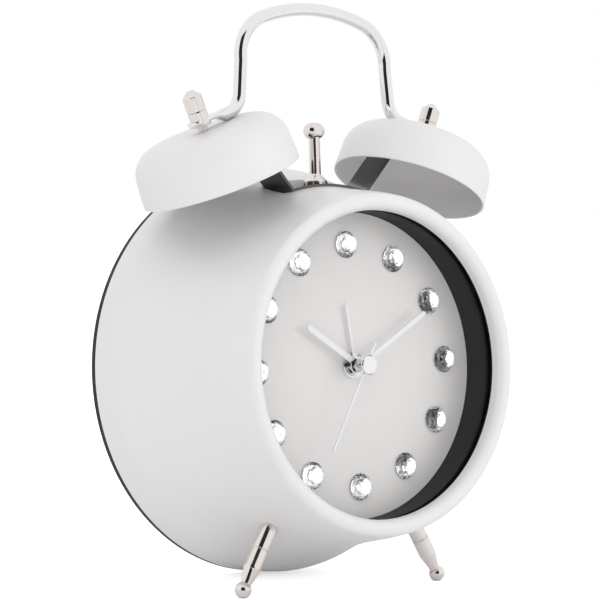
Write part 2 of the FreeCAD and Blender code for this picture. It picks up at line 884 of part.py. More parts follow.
def make_strip():
    """A steel strip along the case's top. Its wings rise into the bells and end in seats."""
    body = new_body("bell_strip")
    band = [(strip_front, strip_radius), (strip_back, strip_radius),
            (strip_back, strip_top), (strip_front, strip_top)]
    revolve(body, band, "H_Axis", "YZ_Plane", 2 * size.strip_half_angle)
    tilt = size.bell_tilt
    foot_x = strip_radius * sine(size.strip_half_angle) - size.bell_reach
    foot_z = strip_radius * cosine(size.strip_half_angle) - size.bell_rise
    foot_u = foot_x * cosine(tilt) - foot_z * sine(tilt)
    foot_v = foot_x * sine(tilt) + foot_z * cosine(tilt)
    lean = size.strip_wall * 1.05
    wing_outline = [
        (foot_u - lean, foot_v), (foot_u, foot_v),
        (lean - size.wing_landing, bell_inside), (-size.wing_landing, bell_inside),
    ]
    seat_outline = [
        (-size.wing_landing, bell_inside - size.strip_wall),
        (size.wing_seat_end, bell_inside - size.strip_wall),
        (size.wing_seat_end, bell_inside), (-size.wing_landing, bell_inside),
    ]
    for side in (1, -1):
        for outline in (wing_outline, seat_outline):
            sketch = new_sketch(body, "XZ_Plane", out=-float(size.bell_depth_place),
                                shift=(side * size.bell_reach, size.bell_rise),
                                turn=-side * float(tilt))
            draw(sketch, [(side * across, along) for across, along in outline])
            pad(body, sketch, size.strip_width, midplane=True)
        seat_bore = on_bell_axis(side, bell_inside - 2 * size.strip_wall)
        bore(body, size.stud_hole, 3 * size.strip_wall, seat_bore)
    upright = FreeCAD.Placement(vector(0, size.hammer_place, strip_radius - size.strip_wall),
                                FreeCAD.Rotation())
    bore(body, size.hammer_stud_radius + size.running_gap, 3 * size.strip_wall, upright)
    return body


# Handle

def handle_path():
    """The wire's centre line on the right half, from the top down to the bell."""
    tilt = size.bell_tilt
    splay = size.handle_splay
    out, up, roll = handle_shoulder_out, size.handle_shoulder_up, size.handle_shoulder
    reach = size.handle_top - roll
    top_centre = (reach * reach - out * out - up * up) / (2 * (reach - up))
    top_curve = size.handle_top - top_centre
    share = roll / (top_curve - roll)
    meet_x = out + out * share
    meet_z = up + (up - top_centre) * share
    leg_x = out + roll * cosine(splay)
    leg_z = up - roll * sine(splay)
    wire_height = size.bell_height + size.wire_radius
    seat_x = size.bell_reach + wire_height * sine(tilt)
    seat_z = size.bell_rise + wire_height * cosine(tilt)
    fall = ((leg_x - seat_x) * sine(tilt) + (leg_z - seat_z) * cosine(tilt)) / cosine(splay + tilt)
    corner_x = leg_x + fall * sine(splay)
    corner_z = leg_z - fall * cosine(splay)
    turn = (as_size(90) - splay - tilt) / 2
    trim = size.handle_bend * tangent(turn)
    return [
        (zero, size.handle_top, top_curve, "right"),
        (meet_x, meet_z, roll, "right"),
        (leg_x, leg_z),
        (corner_x - trim * sine(splay), corner_z + trim * cosine(splay), size.handle_bend, "left"),
        (corner_x + trim * cosine(tilt), corner_z - trim * sine(tilt)),
        (seat_x - size.lug_end_inner * cosine(tilt), seat_z + size.lug_end_inner * sine(tilt)),
    ]


def make_handle():
    body = new_body("handle")
    section = new_sketch(body, "YZ_Plane")
    draw_circle(section, size.wire_radius, size.bell_depth_place, size.handle_top)
    top = size.bell_height + size.lug_end_thickness
    lug_start = -size.lug_end_inner - size.lug_end_outer
    outline = [
        (lug_start, size.bell_height),
        (size.lug_end_outer, size.bell_height), (size.lug_end_outer, top),
        (size.lug_blend - size.lug_end_inner, top),
        (lug_start, size.bell_height + size.wire_radius * 2 - size.lug_ease),
    ]
    for side in (1, -1):
        path = new_sketch(body, "XZ_Plane", out=-float(size.bell_depth_place))
        draw(path, on_side(handle_path(), side), closed=False)
        pipe = body.newObject("PartDesign::AdditivePipe", "handle_wire")
        pipe.Profile = section
        pipe.Spine = (path, [])
        tip = new_sketch(body, "XZ_Plane", out=-float(size.bell_depth_place),
                         shift=(side * size.bell_reach, size.bell_rise),
                         turn=-side * float(size.bell_tilt))
        draw(tip, on_side(outline, side))
        pad(body, tip, 2 * size.lug_end_half_width, midplane=True)
        rounded_end = body.newObject("PartDesign::AdditiveCylinder", "handle_end")
        bind(rounded_end, "Radius", size.lug_end_half_width)
        bind(rounded_end, "Height", size.lug_end_thickness)
        rounded_end.Placement = on_bell_axis(side, size.bell_height, size.lug_end_outer)
        end_bore = on_bell_axis(side, size.bell_height - size.lug_end_thickness)
        bore(body, size.stud_hole, 3 * size.lug_end_thickness, end_bore)
    return body


def on_side(corners, side):
    """The corners as they are for the right side, and their mirror image for the left."""
    if side > 0:
        return corners
    other = {"left": "right", "right": "left"}
    return [(-corner[0], corner[1]) + tuple(other.get(item, item) for item in corner[2:])
            for corner in corners]


# Hammer

def make_hammer():
    seat = strip_top + size.hammer_washer
    wall_there = least(strip_radius, flare_radius(size.hammer_place - size.hammer_nut_radius))
    nut_start = wall_there - size.shell_wall - size.nut_gap - size.hammer_nut
    ease = size.hammer_cone_ease
    stem = [
        (zero, nut_start - size.stud_overrun),
        (size.hammer_stud_radius, nut_start - size.stud_overrun),
        (size.hammer_stud_radius, seat), (size.hammer_foot_radius, seat),
        (size.hammer_foot_radius, seat + size.hammer_cone_base),
        (size.hammer_stem_radius + ease, seat + size.hammer_cone),
        (size.hammer_stem_radius, seat + size.hammer_cone + ease),
        (size.hammer_stem_radius, size.hammer_top), (zero, size.hammer_top),
    ]
    body = new_body("hammer_stem")
    revolve(body, stem, "V_Axis", "XZ_Plane")
    body.Placement = FreeCAD.Placement(vector(0, size.hammer_place, 0), FreeCAD.Rotation())
    half = size.hammer_head_half_length
    radius = size.hammer_head_radius
    face = size.hammer_face_radius
    curve = size.hammer_head_curve
    flat = size.hammer_flat_half
    head = [
        (-half, zero), (half, zero), (half, face, curve, "left"),
        (flat, radius), (-flat, radius, curve, "left"), (-half, face),
    ]
    body = new_body("hammer_head")
    revolve(body, head, "H_Axis", "XZ_Plane")
    socket = FreeCAD.Placement(vector(0, 0, -2 * radius), FreeCAD.Rotation())
    bore(body, size.hammer_stem_radius, 2 * radius, socket)
    body.Placement = FreeCAD.Placement(vector(0, size.hammer_place, size.hammer_top),
                                       FreeCAD.Rotation())
    body = new_body("hammer_washer")
    inner = size.hammer_stud_radius + size.running_gap
    washer = tube(inner, size.hammer_washer_radius, strip_top, seat)
    revolve(body, washer, "V_Axis", "XZ_Plane")
    notch = new_sketch(body, "XY_Plane", out=float(strip_top))
    draw(notch, rectangle(size.washer_notch_half, size.washer_notch_depth, zero,
                          size.hammer_washer_radius))
    teeth = pocket(body, notch, size.hammer_washer * 3, midplane=True)
    ring_pattern(body, [teeth], size.washer_teeth, "Z_Axis")
    body.Placement = FreeCAD.Placement(vector(0, size.hammer_place, 0), FreeCAD.Rotation())
    body = new_body("hammer_nut")
    hexagon(body, size.hammer_nut_radius, size.hammer_stud_radius, nut_start, size.hammer_nut)
    body.Placement = FreeCAD.Placement(vector(0, size.hammer_place, 0), FreeCAD.Rotation())


def hexagon(body, across_corners, hole, start, height):
    """A hexagon nut that stands along the body's Z axis."""
    sketch = new_sketch(body, "XY_Plane", out=float(start))
    corners = []
    for number in range(6):
        angle = as_size(60 * number)
        corners.append((across_corners * cosine(angle), across_corners * sine(angle)))
    draw(sketch, corners)
    draw_circle(sketch, hole)
    return pad(body, sketch, height)


# Feet

def make_feet():
    groove = size.foot_groove
    radius = size.foot_radius
    leg = [
        (zero, foot_start), (size.foot_stud_radius, foot_start),
        (size.foot_stud_radius, size.collar_end), (radius - groove, size.collar_end),
        (radius - groove, size.collar_end + groove), (radius, size.collar_end + groove),
        (radius, size.foot_shoulder), (size.foot_neck_radius, size.foot_neck),
        (zero, size.foot_neck),
    ]
    collar_start = size.waist_radius - size.collar_root
    collar = [
        (size.foot_stud_hole, collar_start), (radius, collar_start),
        (radius, size.collar_end), (size.foot_stud_hole, size.collar_end),
    ]
    wall_there = least(size.waist_radius, flare_radius(size.foot_place - size.foot_nut_radius))
    nut_start = wall_there - size.shell_wall - size.foot_nut - size.nut_gap
    for suffix, side in (("_left", -1), ("_right", 1)):
        body = new_body("foot_collar" + suffix)
        revolve(body, collar, "V_Axis", "XZ_Plane")
        body.Placement = foot_frame(side)
        core = new_sketch(body, "XY_Plane")
        draw(core, [(x, y - size.foot_place) + tuple(rest) for x, y, *rest in case_core()])
        saddle = body.newObject("PartDesign::Groove", "collar_saddle")
        saddle.Profile = core
        saddle.ReferenceAxis = (core, ["V_Axis"])
        saddle.Angle = whole_turn
        body = new_body("foot" + suffix)
        revolve(body, leg, "V_Axis", "XZ_Plane")
        ball = body.newObject("PartDesign::AdditiveSphere", "foot_ball")
        bind(ball, "Radius", size.foot_ball_radius)
        ball.Placement = FreeCAD.Placement(vector(0, 0, size.foot_ball_centre), FreeCAD.Rotation())
        worn = body.newObject("PartDesign::SubtractiveBox", "foot_flat")
        for edge in ("Length", "Width", "Height"):
            bind(worn, edge, 2 * size.foot_ball_radius)
        worn.Placement = foot_frame(side).inverse().multiply(below_foot(side))
        body.Placement = foot_frame(side)
        body = new_body("foot_nut" + suffix)
        hexagon(body, size.foot_nut_radius, size.foot_stud_radius, nut_start, size.foot_nut)
        body.Placement = foot_frame(side)


def lean_angle():
    """The lean at which the feet's flats and the case's lower rear edge touch the table together."""
    foot_down = float(size.foot_ball_centre) * math.cos(math.radians(float(size.foot_angle)))
    ahead = float(rim_back) - float(size.foot_place)
    reach = float(size.foot_ball_radius - size.foot_flat)
    lean = 0.0
    for _ in range(30):
        drop = (foot_down - float(size.band_radius)) * math.cos(lean)
        lean = math.asin((drop + reach) / ahead)
    return math.degrees(lean)


def below_foot(side):
    """A box's placement, in the clock's frame, whose Z axis points down to the table from the plane
    that takes the foot's flat."""
    down = FreeCAD.Rotation(vector(1, 0, 0), lean_angle()).multVec(vector(0, 0, -1))
    middle = foot_frame(side).multVec(vector(0, 0, size.foot_ball_centre))
    spin = FreeCAD.Rotation(vector(0, 0, 1), down)
    radius = size.foot_ball_radius
    corner = spin.multVec(vector(-radius, -radius, radius - size.foot_flat))
    return FreeCAD.Placement(middle + corner, spin)


# Movement module

def make_module_housing():
    body = new_body("module_housing")
    block = new_sketch(body, "XZ_Plane", out=-float(module_front))
    draw(block, rounded(size.module_half_width, size.module_half_height, size.window_corner,
                        zero, -size.module_drop))
    pad(body, block, panel_front - module_front, reversed_way=True)
    hollow = new_sketch(body, "XZ_Plane", out=-float(module_inside))
    draw(hollow, rounded(size.module_half_width - size.module_wall,
                         size.module_half_height - size.module_wall,
                         size.window_corner - size.module_wall / 2, zero, -size.module_drop))
    pocket(body, hollow, panel_front)
    bush = new_sketch(body, "XZ_Plane", out=-float(module_inside))
    draw_circle(bush, size.bush_radius)
    bush_length = module_inside - size.dial_place + size.bush_reach
    pad(body, bush, bush_length)
    centre = along_y(0, module_inside - 2 * bush_length, 0)
    bore(body, size.alarm_tube_radius + size.running_gap, 3 * bush_length, centre)
    return body


def make_dial_nut():
    body = new_body("dial_nut")
    inner = size.bush_radius + size.running_gap
    radius = size.dial_nut_radius
    front = size.dial_place - size.dial_nut_depth
    chamfer = size.edge_chamfer
    section = [
        (inner, size.dial_place), (radius, size.dial_place), (radius, front + chamfer),
        (radius - chamfer, front), (inner, front),
    ]
    revolve(body, section)
    return body


def make_module_back():
    """The panel that shows in the rear window, with the battery's tray and the door's rails."""
    body = new_body("module_back")
    overlap = size.panel_overlap
    flange = new_sketch(body, "XZ_Plane", out=-float(panel_front))
    draw(flange, rounded(size.window_half_width + overlap, size.window_half_height + overlap,
                         size.window_corner, zero, -size.module_drop))
    pad(body, flange, size.panel_web, reversed_way=True)
    face = new_sketch(body, "XZ_Plane", out=-float(web_front))
    draw(face, rounded(size.window_half_width - size.cover_gap,
                       size.window_half_height - size.cover_gap, size.window_corner,
                       zero, -size.module_drop))
    pad(body, face, panel_back - web_front, reversed_way=True)
    cavity_half_width = size.battery_half_length + size.contact_room
    cavity_half_height = size.battery_radius + size.battery_gap
    tray_front = size.battery_in - size.battery_radius - size.battery_gap - size.tray_wall
    tray = new_sketch(body, "XZ_Plane", out=-float(tray_front))
    draw(tray, rectangle(cavity_half_width + size.tray_wall, cavity_half_height + size.tray_wall,
                         zero, -size.battery_place))
    pad(body, tray, panel_front - tray_front + size.join_overlap, reversed_way=True)
    cavity = new_sketch(body, "XZ_Plane", out=-float(tray_front + size.tray_wall))
    draw(cavity, rectangle(cavity_half_width, cavity_half_height, zero, -size.battery_place))
    pocket(body, cavity, panel_back)
    for side in (1, -1):
        rail_x = size.door_half_width + size.control_gap
        door_back = panel_back + size.control_gap + size.door_thickness
        rail_top = door_back + size.control_gap + size.rail_cover
        rail_root = panel_back - size.join_overlap
        outline = [
            (side * rail_x, rail_root),
            (side * (rail_x + size.rail_wall), rail_root),
            (side * (rail_x + size.rail_wall), rail_top),
            (side * (rail_x - size.rail_lip), rail_top),
            (side * (rail_x - size.rail_lip), door_back + size.control_gap),
            (side * rail_x, door_back + size.control_gap),
        ]
        rail = new_sketch(body, "XY_Plane", out=-float(size.battery_place))
        draw(rail, outline)
        pad(body, rail, 2 * size.door_half_height, midplane=True)
        stem = along_y(side * float(stem_out), panel_front - size.panel_web, stem_up)
        bore(body, size.stem_radius + size.running_gap, 4 * size.panel_web, stem)
    slot = new_sketch(body, "XZ_Plane", out=-float(panel_back))
    slot_half = size.switch_stem_half + size.switch_travel / 2 + size.control_gap
    draw(slot, rectangle(slot_half, size.switch_stem_half + size.control_gap,
                         size.switch_travel / 2, size.switch_place))
    pocket(body, slot, 6 * size.panel_web, midplane=True)
    grille = new_sketch(body, "XZ_Plane", out=-float(panel_back))
    middle = (size.grille_slots - 1) / 2
    for number in range(whole(size.grille_slots)):
        draw(grille, rectangle(size.grille_half_length, size.grille_half_width, size.buzzer_across,
                               (number - middle) * size.grille_pitch - size.buzzer_drop))
    pocket(body, grille, 6 * size.panel_web, midplane=True)
    return body


def make_gear_plate():
    """The rear plate of the wheel train, on four pillars, with the pin of the motion wheel."""
    body = new_body("gear_plate")
    back = size.plate_place + size.plate_thickness
    plate = new_sketch(body, "XZ_Plane", out=-float(back))
    draw(plate, rounded(size.plate_half_width, size.plate_half_height, size.plate_corner))
    pad(body, plate, size.plate_thickness)
    root = size.plate_place + size.join_overlap
    pillars = new_sketch(body, "XZ_Plane", out=-float(root))
    inset = size.pillar_inset
    for across in (1, -1):
        for along in (1, -1):
            draw_circle(pillars, size.pillar_radius, across * (size.plate_half_width - inset),
                        along * (size.plate_half_height - inset))
    pad(body, pillars, root - module_inside)
    pin = new_sketch(body, "XZ_Plane", out=-float(root))
    motion = motion_axis()
    draw_circle(pin, size.motion_pin_radius, motion[0], motion[1])
    pad(body, pin, root - size.hour_wheel_place + size.pinion_overlap)
    start = size.plate_place - size.plate_thickness
    bore_length = 3 * size.plate_thickness
    bore(body, size.second_arbor_radius + size.running_gap, bore_length, along_y(0, start, 0))
    for side in (1, -1):
        stem = along_y(side * float(stem_out), start, stem_up)
        bore(body, size.stem_radius + size.running_gap, bore_length, stem)
    return body


def motion_axis():
    """The motion wheel sits at one train distance from the dial's axis and from the setting stem."""
    lean = math.degrees(math.acos(float(stem_distance) / 2 / float(train_distance)))
    angle = size.stem_rise + lean
    return -train_distance * cosine(angle), train_distance * sine(angle)


# Wheels

def tooth_corners(teeth, module, phase, centre):
    """A wheel's outline: four corners for each tooth, with enough play to run freely."""
    pitch_radius = module * teeth / 2
    tip = pitch_radius + module * size.tooth_tip
    root = pitch_radius - module * size.tooth_root
    tip_share = float(size.tooth_tip_share)
    root_share = float(size.tooth_root_share)
    profile = ((root, -root_share), (tip, -tip_share), (tip, tip_share), (root, root_share))
    step = whole_turn / teeth
    corners = []
    for number in range(teeth):
        middle = phase + step * number
        for radius, share in profile:
            angle = as_size(middle + step * share)
            corners.append((centre[0] + radius * cosine(angle), centre[1] + radius * sine(angle)))
    return corners


def toothed_disc(teeth, module, phase, start, end, centre=(zero, zero)):
    """A toothed disc, drawn as one polygon, that runs to the rear from start to end."""
    points = [vector(x, start, z) for x, z in tooth_corners(teeth, module, phase, centre)]
    outline = Part.makePolygon(points + points[:1])
    return Part.Face(outline).extrude(vector(0, end - start, 0))


def mesh_phase(first_teeth, first_phase, second_teeth, bearing):
    """The phase of a second wheel that meshes with a first one along a bearing from the first."""
    first_step = whole_turn / first_teeth
    second_step = whole_turn / second_teeth
    offset = ((bearing - first_phase) / first_step) % 1.0
    return bearing + 180 + second_step * (offset + 0.5)


def cylinder(radius, start, end, centre=(zero, zero)):
    return Part.makeCylinder(float(radius), float(end - start),
                             vector(centre[0], start, centre[1]), vector(0, 1, 0))


def shaped(name, shape):
    """A piece whose outline is worked out tooth by tooth."""
    piece = doc.addObject("Part::Feature", name)
    piece.Label = name
    piece.Shape = shape.removeSplitter()
    pieces[name] = piece
    return piece


def bearing_between(first, second):
    return math.degrees(math.atan2(float(second[1] - first[1]), float(second[0] - first[0])))


def make_wheels():
    gap = size.running_gap
    collar = size.wheel_collar
    overlap = size.pinion_overlap
    thickness = size.wheel_thickness
    train = size.train_module
    dial_axis = (zero, zero)
    motion = motion_axis()
    time_stem = (-stem_out, stem_up)
    alarm_stem = (stem_out, stem_up)
    cannon_teeth = whole(size.cannon_teeth)
    motion_teeth = whole(size.motion_teeth)
    pinion_teeth = whole(size.motion_pinion_teeth)
    hour_teeth = whole(size.hour_teeth)
    setting_teeth = whole(size.setting_teeth)
    alarm_teeth = whole(size.alarm_teeth)
    alarm_setting_teeth = whole(size.alarm_setting_teeth)

    toward_motion = bearing_between(dial_axis, motion)
    motion_phase = mesh_phase(cannon_teeth, 0.0, motion_teeth, toward_motion)
    pinion_phase = mesh_phase(hour_teeth, 0.0, pinion_teeth, toward_motion)
    setting_phase = mesh_phase(motion_teeth, motion_phase, setting_teeth,
                               bearing_between(motion, time_stem))
    alarm_phase = mesh_phase(alarm_teeth, 0.0, alarm_setting_teeth,
                             bearing_between(dial_axis, alarm_stem))

    place = size.motion_wheel_place
    cannon = toothed_disc(cannon_teeth, train, 0.0, place - overlap, place + thickness + overlap)
    cannon = cannon.fuse(cylinder(size.minute_tube_radius, -size.minute_hand_front, place + collar))
    shaped("minute_arbor", cannon.cut(cylinder(size.second_arbor_radius + gap, -through, through)))

    wheel = toothed_disc(motion_teeth, train, motion_phase, place, place + thickness, motion)
    pinion = toothed_disc(pinion_teeth, size.hour_module, pinion_phase,
                          size.hour_wheel_place - overlap, place + overlap / 2, motion)
    hole = cylinder(size.motion_pin_radius + gap, -through, through, motion)
    shaped("motion_wheel", wheel.fuse(pinion).cut(hole))

    place = size.hour_wheel_place
    hour = toothed_disc(hour_teeth, size.hour_module, 0.0, place, place + thickness)
    hour = hour.fuse(cylinder(size.hour_tube_radius, -size.hour_hand_front, place + collar))
    shaped("hour_wheel", hour.cut(cylinder(size.minute_tube_radius + gap, -through, through)))

    place = size.alarm_wheel_place
    alarm = toothed_disc(alarm_teeth, train, 0.0, place, place + thickness)
    alarm = alarm.fuse(cylinder(size.alarm_tube_radius, -size.alarm_hand_front, place + collar))
    shaped("alarm_wheel", alarm.cut(cylinder(size.hour_tube_radius + gap, -through, through)))

    place = size.second_wheel_place
    second = toothed_disc(whole(size.second_teeth), size.second_module, 0.0, place, place + thickness)
    arbor = cylinder(size.second_arbor_radius, size.cap_face - size.cap_front,
                     size.plate_place + size.plate_thickness)
    shaped("second_wheel", second.fuse(arbor))

    make_knob("time_knob", time_stem, setting_teeth, setting_phase, size.motion_wheel_place)
    make_knob("alarm_knob", alarm_stem, alarm_setting_teeth, alarm_phase, size.alarm_wheel_place)


def make_knob(name, centre, teeth, phase, wheel_place):
    """A fluted knob behind the panel, with its stem and the pinion at the stem's far end."""
    start = panel_back + size.control_gap
    end = start + size.knob_depth
    knob = cylinder(size.knob_radius, start, end, centre)
    rim = [edge for edge in knob.Edges if edge.BoundBox.YMin > float(end) - 0.01]
    knob = knob.makeFillet(float(size.knob_edge), rim[:1])
    reach = size.knob_radius + size.knob_flute_radius - size.knob_flute_bite
    flutes = whole(size.knob_flutes)
    for number in range(flutes):
        angle = as_size(whole_turn * number / flutes)
        place = (centre[0] + reach * cosine(angle), centre[1] + reach * sine(angle))
        knob = knob.cut(cylinder(size.knob_flute_radius, zero, 2 * end, place))
    stem = cylinder(size.stem_radius, module_inside + size.control_gap, start + size.join_overlap,
                    centre)
    overlap = size.pinion_overlap / 2
    pinion = toothed_disc(teeth, size.train_module, phase, wheel_place - overlap,
                          wheel_place + size.wheel_thickness + overlap, centre)
    shaped(name, knob.fuse(stem).fuse(pinion))


# Hands

def hand(name, tube_radius, front, boss_depth, length, width, angle, tail=zero):
    """A flat baton hand with a round boss that is pressed on its tube."""
    body = new_body(name)
    back = size.hand_thickness - front
    half = width / 2
    blade = new_sketch(body, "XZ_Plane", out=-float(back))
    draw(blade, [(-half, -tail), (half, -tail), (half, length - half), (zero, length),
                 (-half, length - half)])
    pad(body, blade, size.hand_thickness)
    boss = new_sketch(body, "XZ_Plane", out=float(front - boss_depth))
    draw_circle(boss, tube_radius + size.boss_wall)
    pad(body, boss, boss_depth)
    bore(body, tube_radius, 4 * boss_depth, along_y(0, -front - boss_depth, 0))
    body.Placement = FreeCAD.Placement(vector(0, 0, 0),
                                       FreeCAD.Rotation(vector(0, 1, 0), float(angle)))
    return body


def make_hands():
    hand("alarm_hand", size.alarm_tube_radius, size.alarm_hand_front, size.hand_thickness,
         size.alarm_hand_length, size.alarm_hand_width, size.alarm_hand_angle)
    hand("hour_hand", size.hour_tube_radius, size.hour_hand_front, size.boss_depth,
         size.hour_hand_length, size.hour_hand_width, size.hour_hand_angle)
    hand("minute_hand", size.minute_tube_radius, size.minute_hand_front, size.boss_depth,
         size.minute_hand_length, size.minute_hand_width, size.minute_hand_angle)
    hand("second_hand", size.second_arbor_radius, size.second_hand_front, size.boss_depth,
         size.second_hand_length, size.second_hand_width, size.second_hand_angle,
         size.second_hand_tail)
    cap = new_body("second_cap")
    front = -size.cap_front
    back = front + size.cap_depth
    edge = size.cap_edge
    section = [
        (zero, front), (size.cap_radius - edge, front), (size.cap_radius, front + edge),
        (size.cap_radius, back), (zero, back),
    ]
    revolve(cap, section)
    bore(cap, size.second_arbor_radius, size.cap_depth, along_y(0, front + size.cap_face, 0))


# Controls, power and electronics

def make_switch():
    body = new_body("alarm_switch")
    face = panel_back + size.control_gap
    cap = new_sketch(body, "XZ_Plane", out=-float(face))
    draw(cap, rounded(size.switch_half_length, size.switch_half_width, size.switch_corner,
                      zero, size.switch_place))
    pad(body, cap, size.switch_proud, reversed_way=True)
    stem = new_sketch(body, "XZ_Plane", out=-float(face))
    draw(stem, rectangle(size.switch_stem_half, size.switch_stem_half, zero, size.switch_place))
    pad(body, stem, face - panel_front + size.control_gap)
    foot = new_sketch(body, "XZ_Plane", out=-float(panel_front - size.control_gap))
    draw(foot, rectangle(size.switch_half_length, size.switch_half_width, zero, size.switch_place))
    pad(body, foot, size.switch_foot)
    return body


def make_battery_door():
    body = new_body("battery_door")
    face = panel_back + size.control_gap
    plate = new_sketch(body, "XZ_Plane", out=-float(face))
    draw(plate, rectangle(size.door_half_width, size.door_half_height, zero, -size.battery_place))
    pad(body, plate, size.door_thickness, reversed_way=True)
    for number in range(1, whole(size.door_ribs) + 1):
        rib = new_sketch(body, "XZ_Plane", out=-float(face + size.door_thickness))
        draw(rib, rectangle(size.door_rib_half_length, size.door_rib_half_width, zero,
                            -size.battery_place - size.door_rib_pitch * number))
        pad(body, rib, size.door_rib_height, reversed_way=True)
    return body


def make_power():
    battery = new_body("battery")
    radius = size.battery_radius
    half = size.battery_half_length
    edge = size.cell_edge
    shoulder = half - size.cell_nub
    section = [
        (-half, zero), (half, zero), (half, size.cell_nub_radius), (shoulder, size.cell_nub_radius),
        (shoulder, radius - edge), (shoulder - edge, radius), (edge - half, radius),
        (-half, radius - edge),
    ]
    revolve(battery, section, "H_Axis", "XZ_Plane")
    battery.Placement = FreeCAD.Placement(vector(0, size.battery_in, -size.battery_place),
                                          FreeCAD.Rotation())
    body = new_body("battery_contacts")
    outer = half + size.contact_room
    inner = outer - size.contact_wall
    section = [
        (half, zero), (half, size.contact_boss), (inner, size.contact_cone),
        (inner, size.contact_blade), (outer, size.contact_blade), (outer, zero),
    ]
    revolve(body, section, "H_Axis", "XZ_Plane")
    revolve(body, on_side(section, -1), "H_Axis", "XZ_Plane")
    body.Placement = battery.Placement


def make_electronics():
    board = new_body("circuit_board")
    start = size.board_place
    back = start + size.board_thickness
    plate = new_sketch(board, "XZ_Plane", out=-float(back))
    draw(plate, rectangle(size.board_half_width, size.board_half_height, zero, -size.board_drop))
    pad(board, plate, size.board_thickness)
    root = start + size.join_overlap
    posts = new_sketch(board, "XZ_Plane", out=-float(root))
    post_drop = size.board_drop + size.board_half_height - size.board_post_inset
    for side in (1, -1):
        draw_circle(posts, size.board_post_radius,
                    side * (size.board_half_width - size.board_post_inset), -post_drop)
    pad(board, posts, root - size.plate_place - size.plate_thickness)
    for side in (1, -1):
        stem = along_y(side * float(stem_out), start - size.board_thickness, stem_up)
        bore(board, size.stem_radius + size.board_hole_gap, 3 * size.board_thickness, stem)
    coil = new_body("motor_coil")
    half = size.coil_half_length
    section = [(-half, zero), (half, zero), (half, size.coil_radius), (-half, size.coil_radius)]
    revolve(coil, section, "H_Axis", "XZ_Plane")
    coil.Placement = FreeCAD.Placement(
        vector(-size.coil_across, back + size.coil_radius, -size.coil_drop), FreeCAD.Rotation())
    buzzer = new_body("buzzer")
    round_can = new_sketch(buzzer, "XZ_Plane", out=-float(back + size.buzzer_depth))
    draw_circle(round_can, size.buzzer_radius, size.buzzer_across, -size.buzzer_drop)
    pad(buzzer, round_can, size.buzzer_depth)


def build_pieces():
    make_case()
    make_rear_cover()
    make_cover_lugs()
    make_cover_screws()
    make_glazing()
    make_dial()
    make_bells()
    make_bell_fixings()
    make_strip()
    make_handle()
    make_hammer()
    make_feet()
    make_module_housing()
    make_dial_nut()
    make_module_back()
    make_gear_plate()
    make_wheels()
    make_hands()
    make_switch()
    make_battery_door()
    make_power()
    make_electronics()


def stand_up():
    """Leans every piece back and puts the origin on the table under the middle of the clock."""
    lean = lean_angle()
    spin = FreeCAD.Placement(vector(0, 0, 0), FreeCAD.Rotation(vector(1, 0, 0), -lean))
    turned = []
    for name, piece in pieces.items():
        shape = piece.Shape.copy()
        shape.Placement = spin.multiply(shape.Placement)
        turned.append(shape.optimalBoundingBox(False, False))
    low_z = min(box.ZMin for box in turned)
    middle_y = (min(box.YMin for box in turned) + max(box.YMax for box in turned)) / 2
    stand = FreeCAD.Placement(vector(0, -middle_y, -low_z), FreeCAD.Rotation()).multiply(spin)
    for piece in pieces.values():
        piece.Placement = stand.multiply(piece.Placement)
    doc.recompute()
    print("lean", round(lean, 4), "shift", round(-middle_y, 4), round(-low_z, 4))
    motion = motion_axis()
    points = {
        "dial_axis": (0, 0, 0), "motion_axis": (motion[0], size.motion_wheel_place, motion[1]),
        "time_stem": (-stem_out, panel_back, stem_up), "alarm_stem": (stem_out, panel_back, stem_up),
        "handle_gap": (0, size.bell_depth_place, shoulder_radius + handle_shoulder_out),
        "bell_right": (size.bell_reach, size.bell_depth_place, size.bell_rise),
    }
    for name, point in points.items():
        moved = stand.multVec(vector(*point))
        print("point", name, [round(value, 4) for value in moved])
    for name, side in (("foot_left", -1), ("foot_right", 1)):
        moved = stand.multVec(foot_frame(side).multVec(vector(0, 0, size.foot_ball_centre)))
        print("point", name, [round(value, 4) for value in (moved.x, moved.y, 0.0)])


def check_and_write():
    """Every object must be sound before anything is written."""
    faults = []
    for item in doc.Objects:
        if "Invalid" in item.State or "Error" in item.State:
            faults.append(item.Label + " " + str(item.State))
    for name, piece in pieces.items():
        if piece.Shape.isNull() or not piece.Shape.isValid() or not piece.Shape.Solids:
            faults.append(name + " has no valid solid")
    if faults:
        raise RuntimeError("; ".join(faults))
    os.makedirs("parts", exist_ok=True)
    for name, piece in pieces.items():
        piece.Shape.exportStep(os.path.join("parts", name + ".step"))
        box = piece.Shape.BoundBox
        ends = (box.XMin, box.XMax, box.YMin, box.YMax, box.ZMin, box.ZMax)
        print(name, len(piece.Shape.Solids), round(piece.Shape.Volume, 1),
              [round(value, 1) for value in ends])


build_pieces()
doc.recompute()
stand_up()
check_and_write()
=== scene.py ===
import json
import math

import bmesh
import bpy
from mathutils import Matrix, Vector


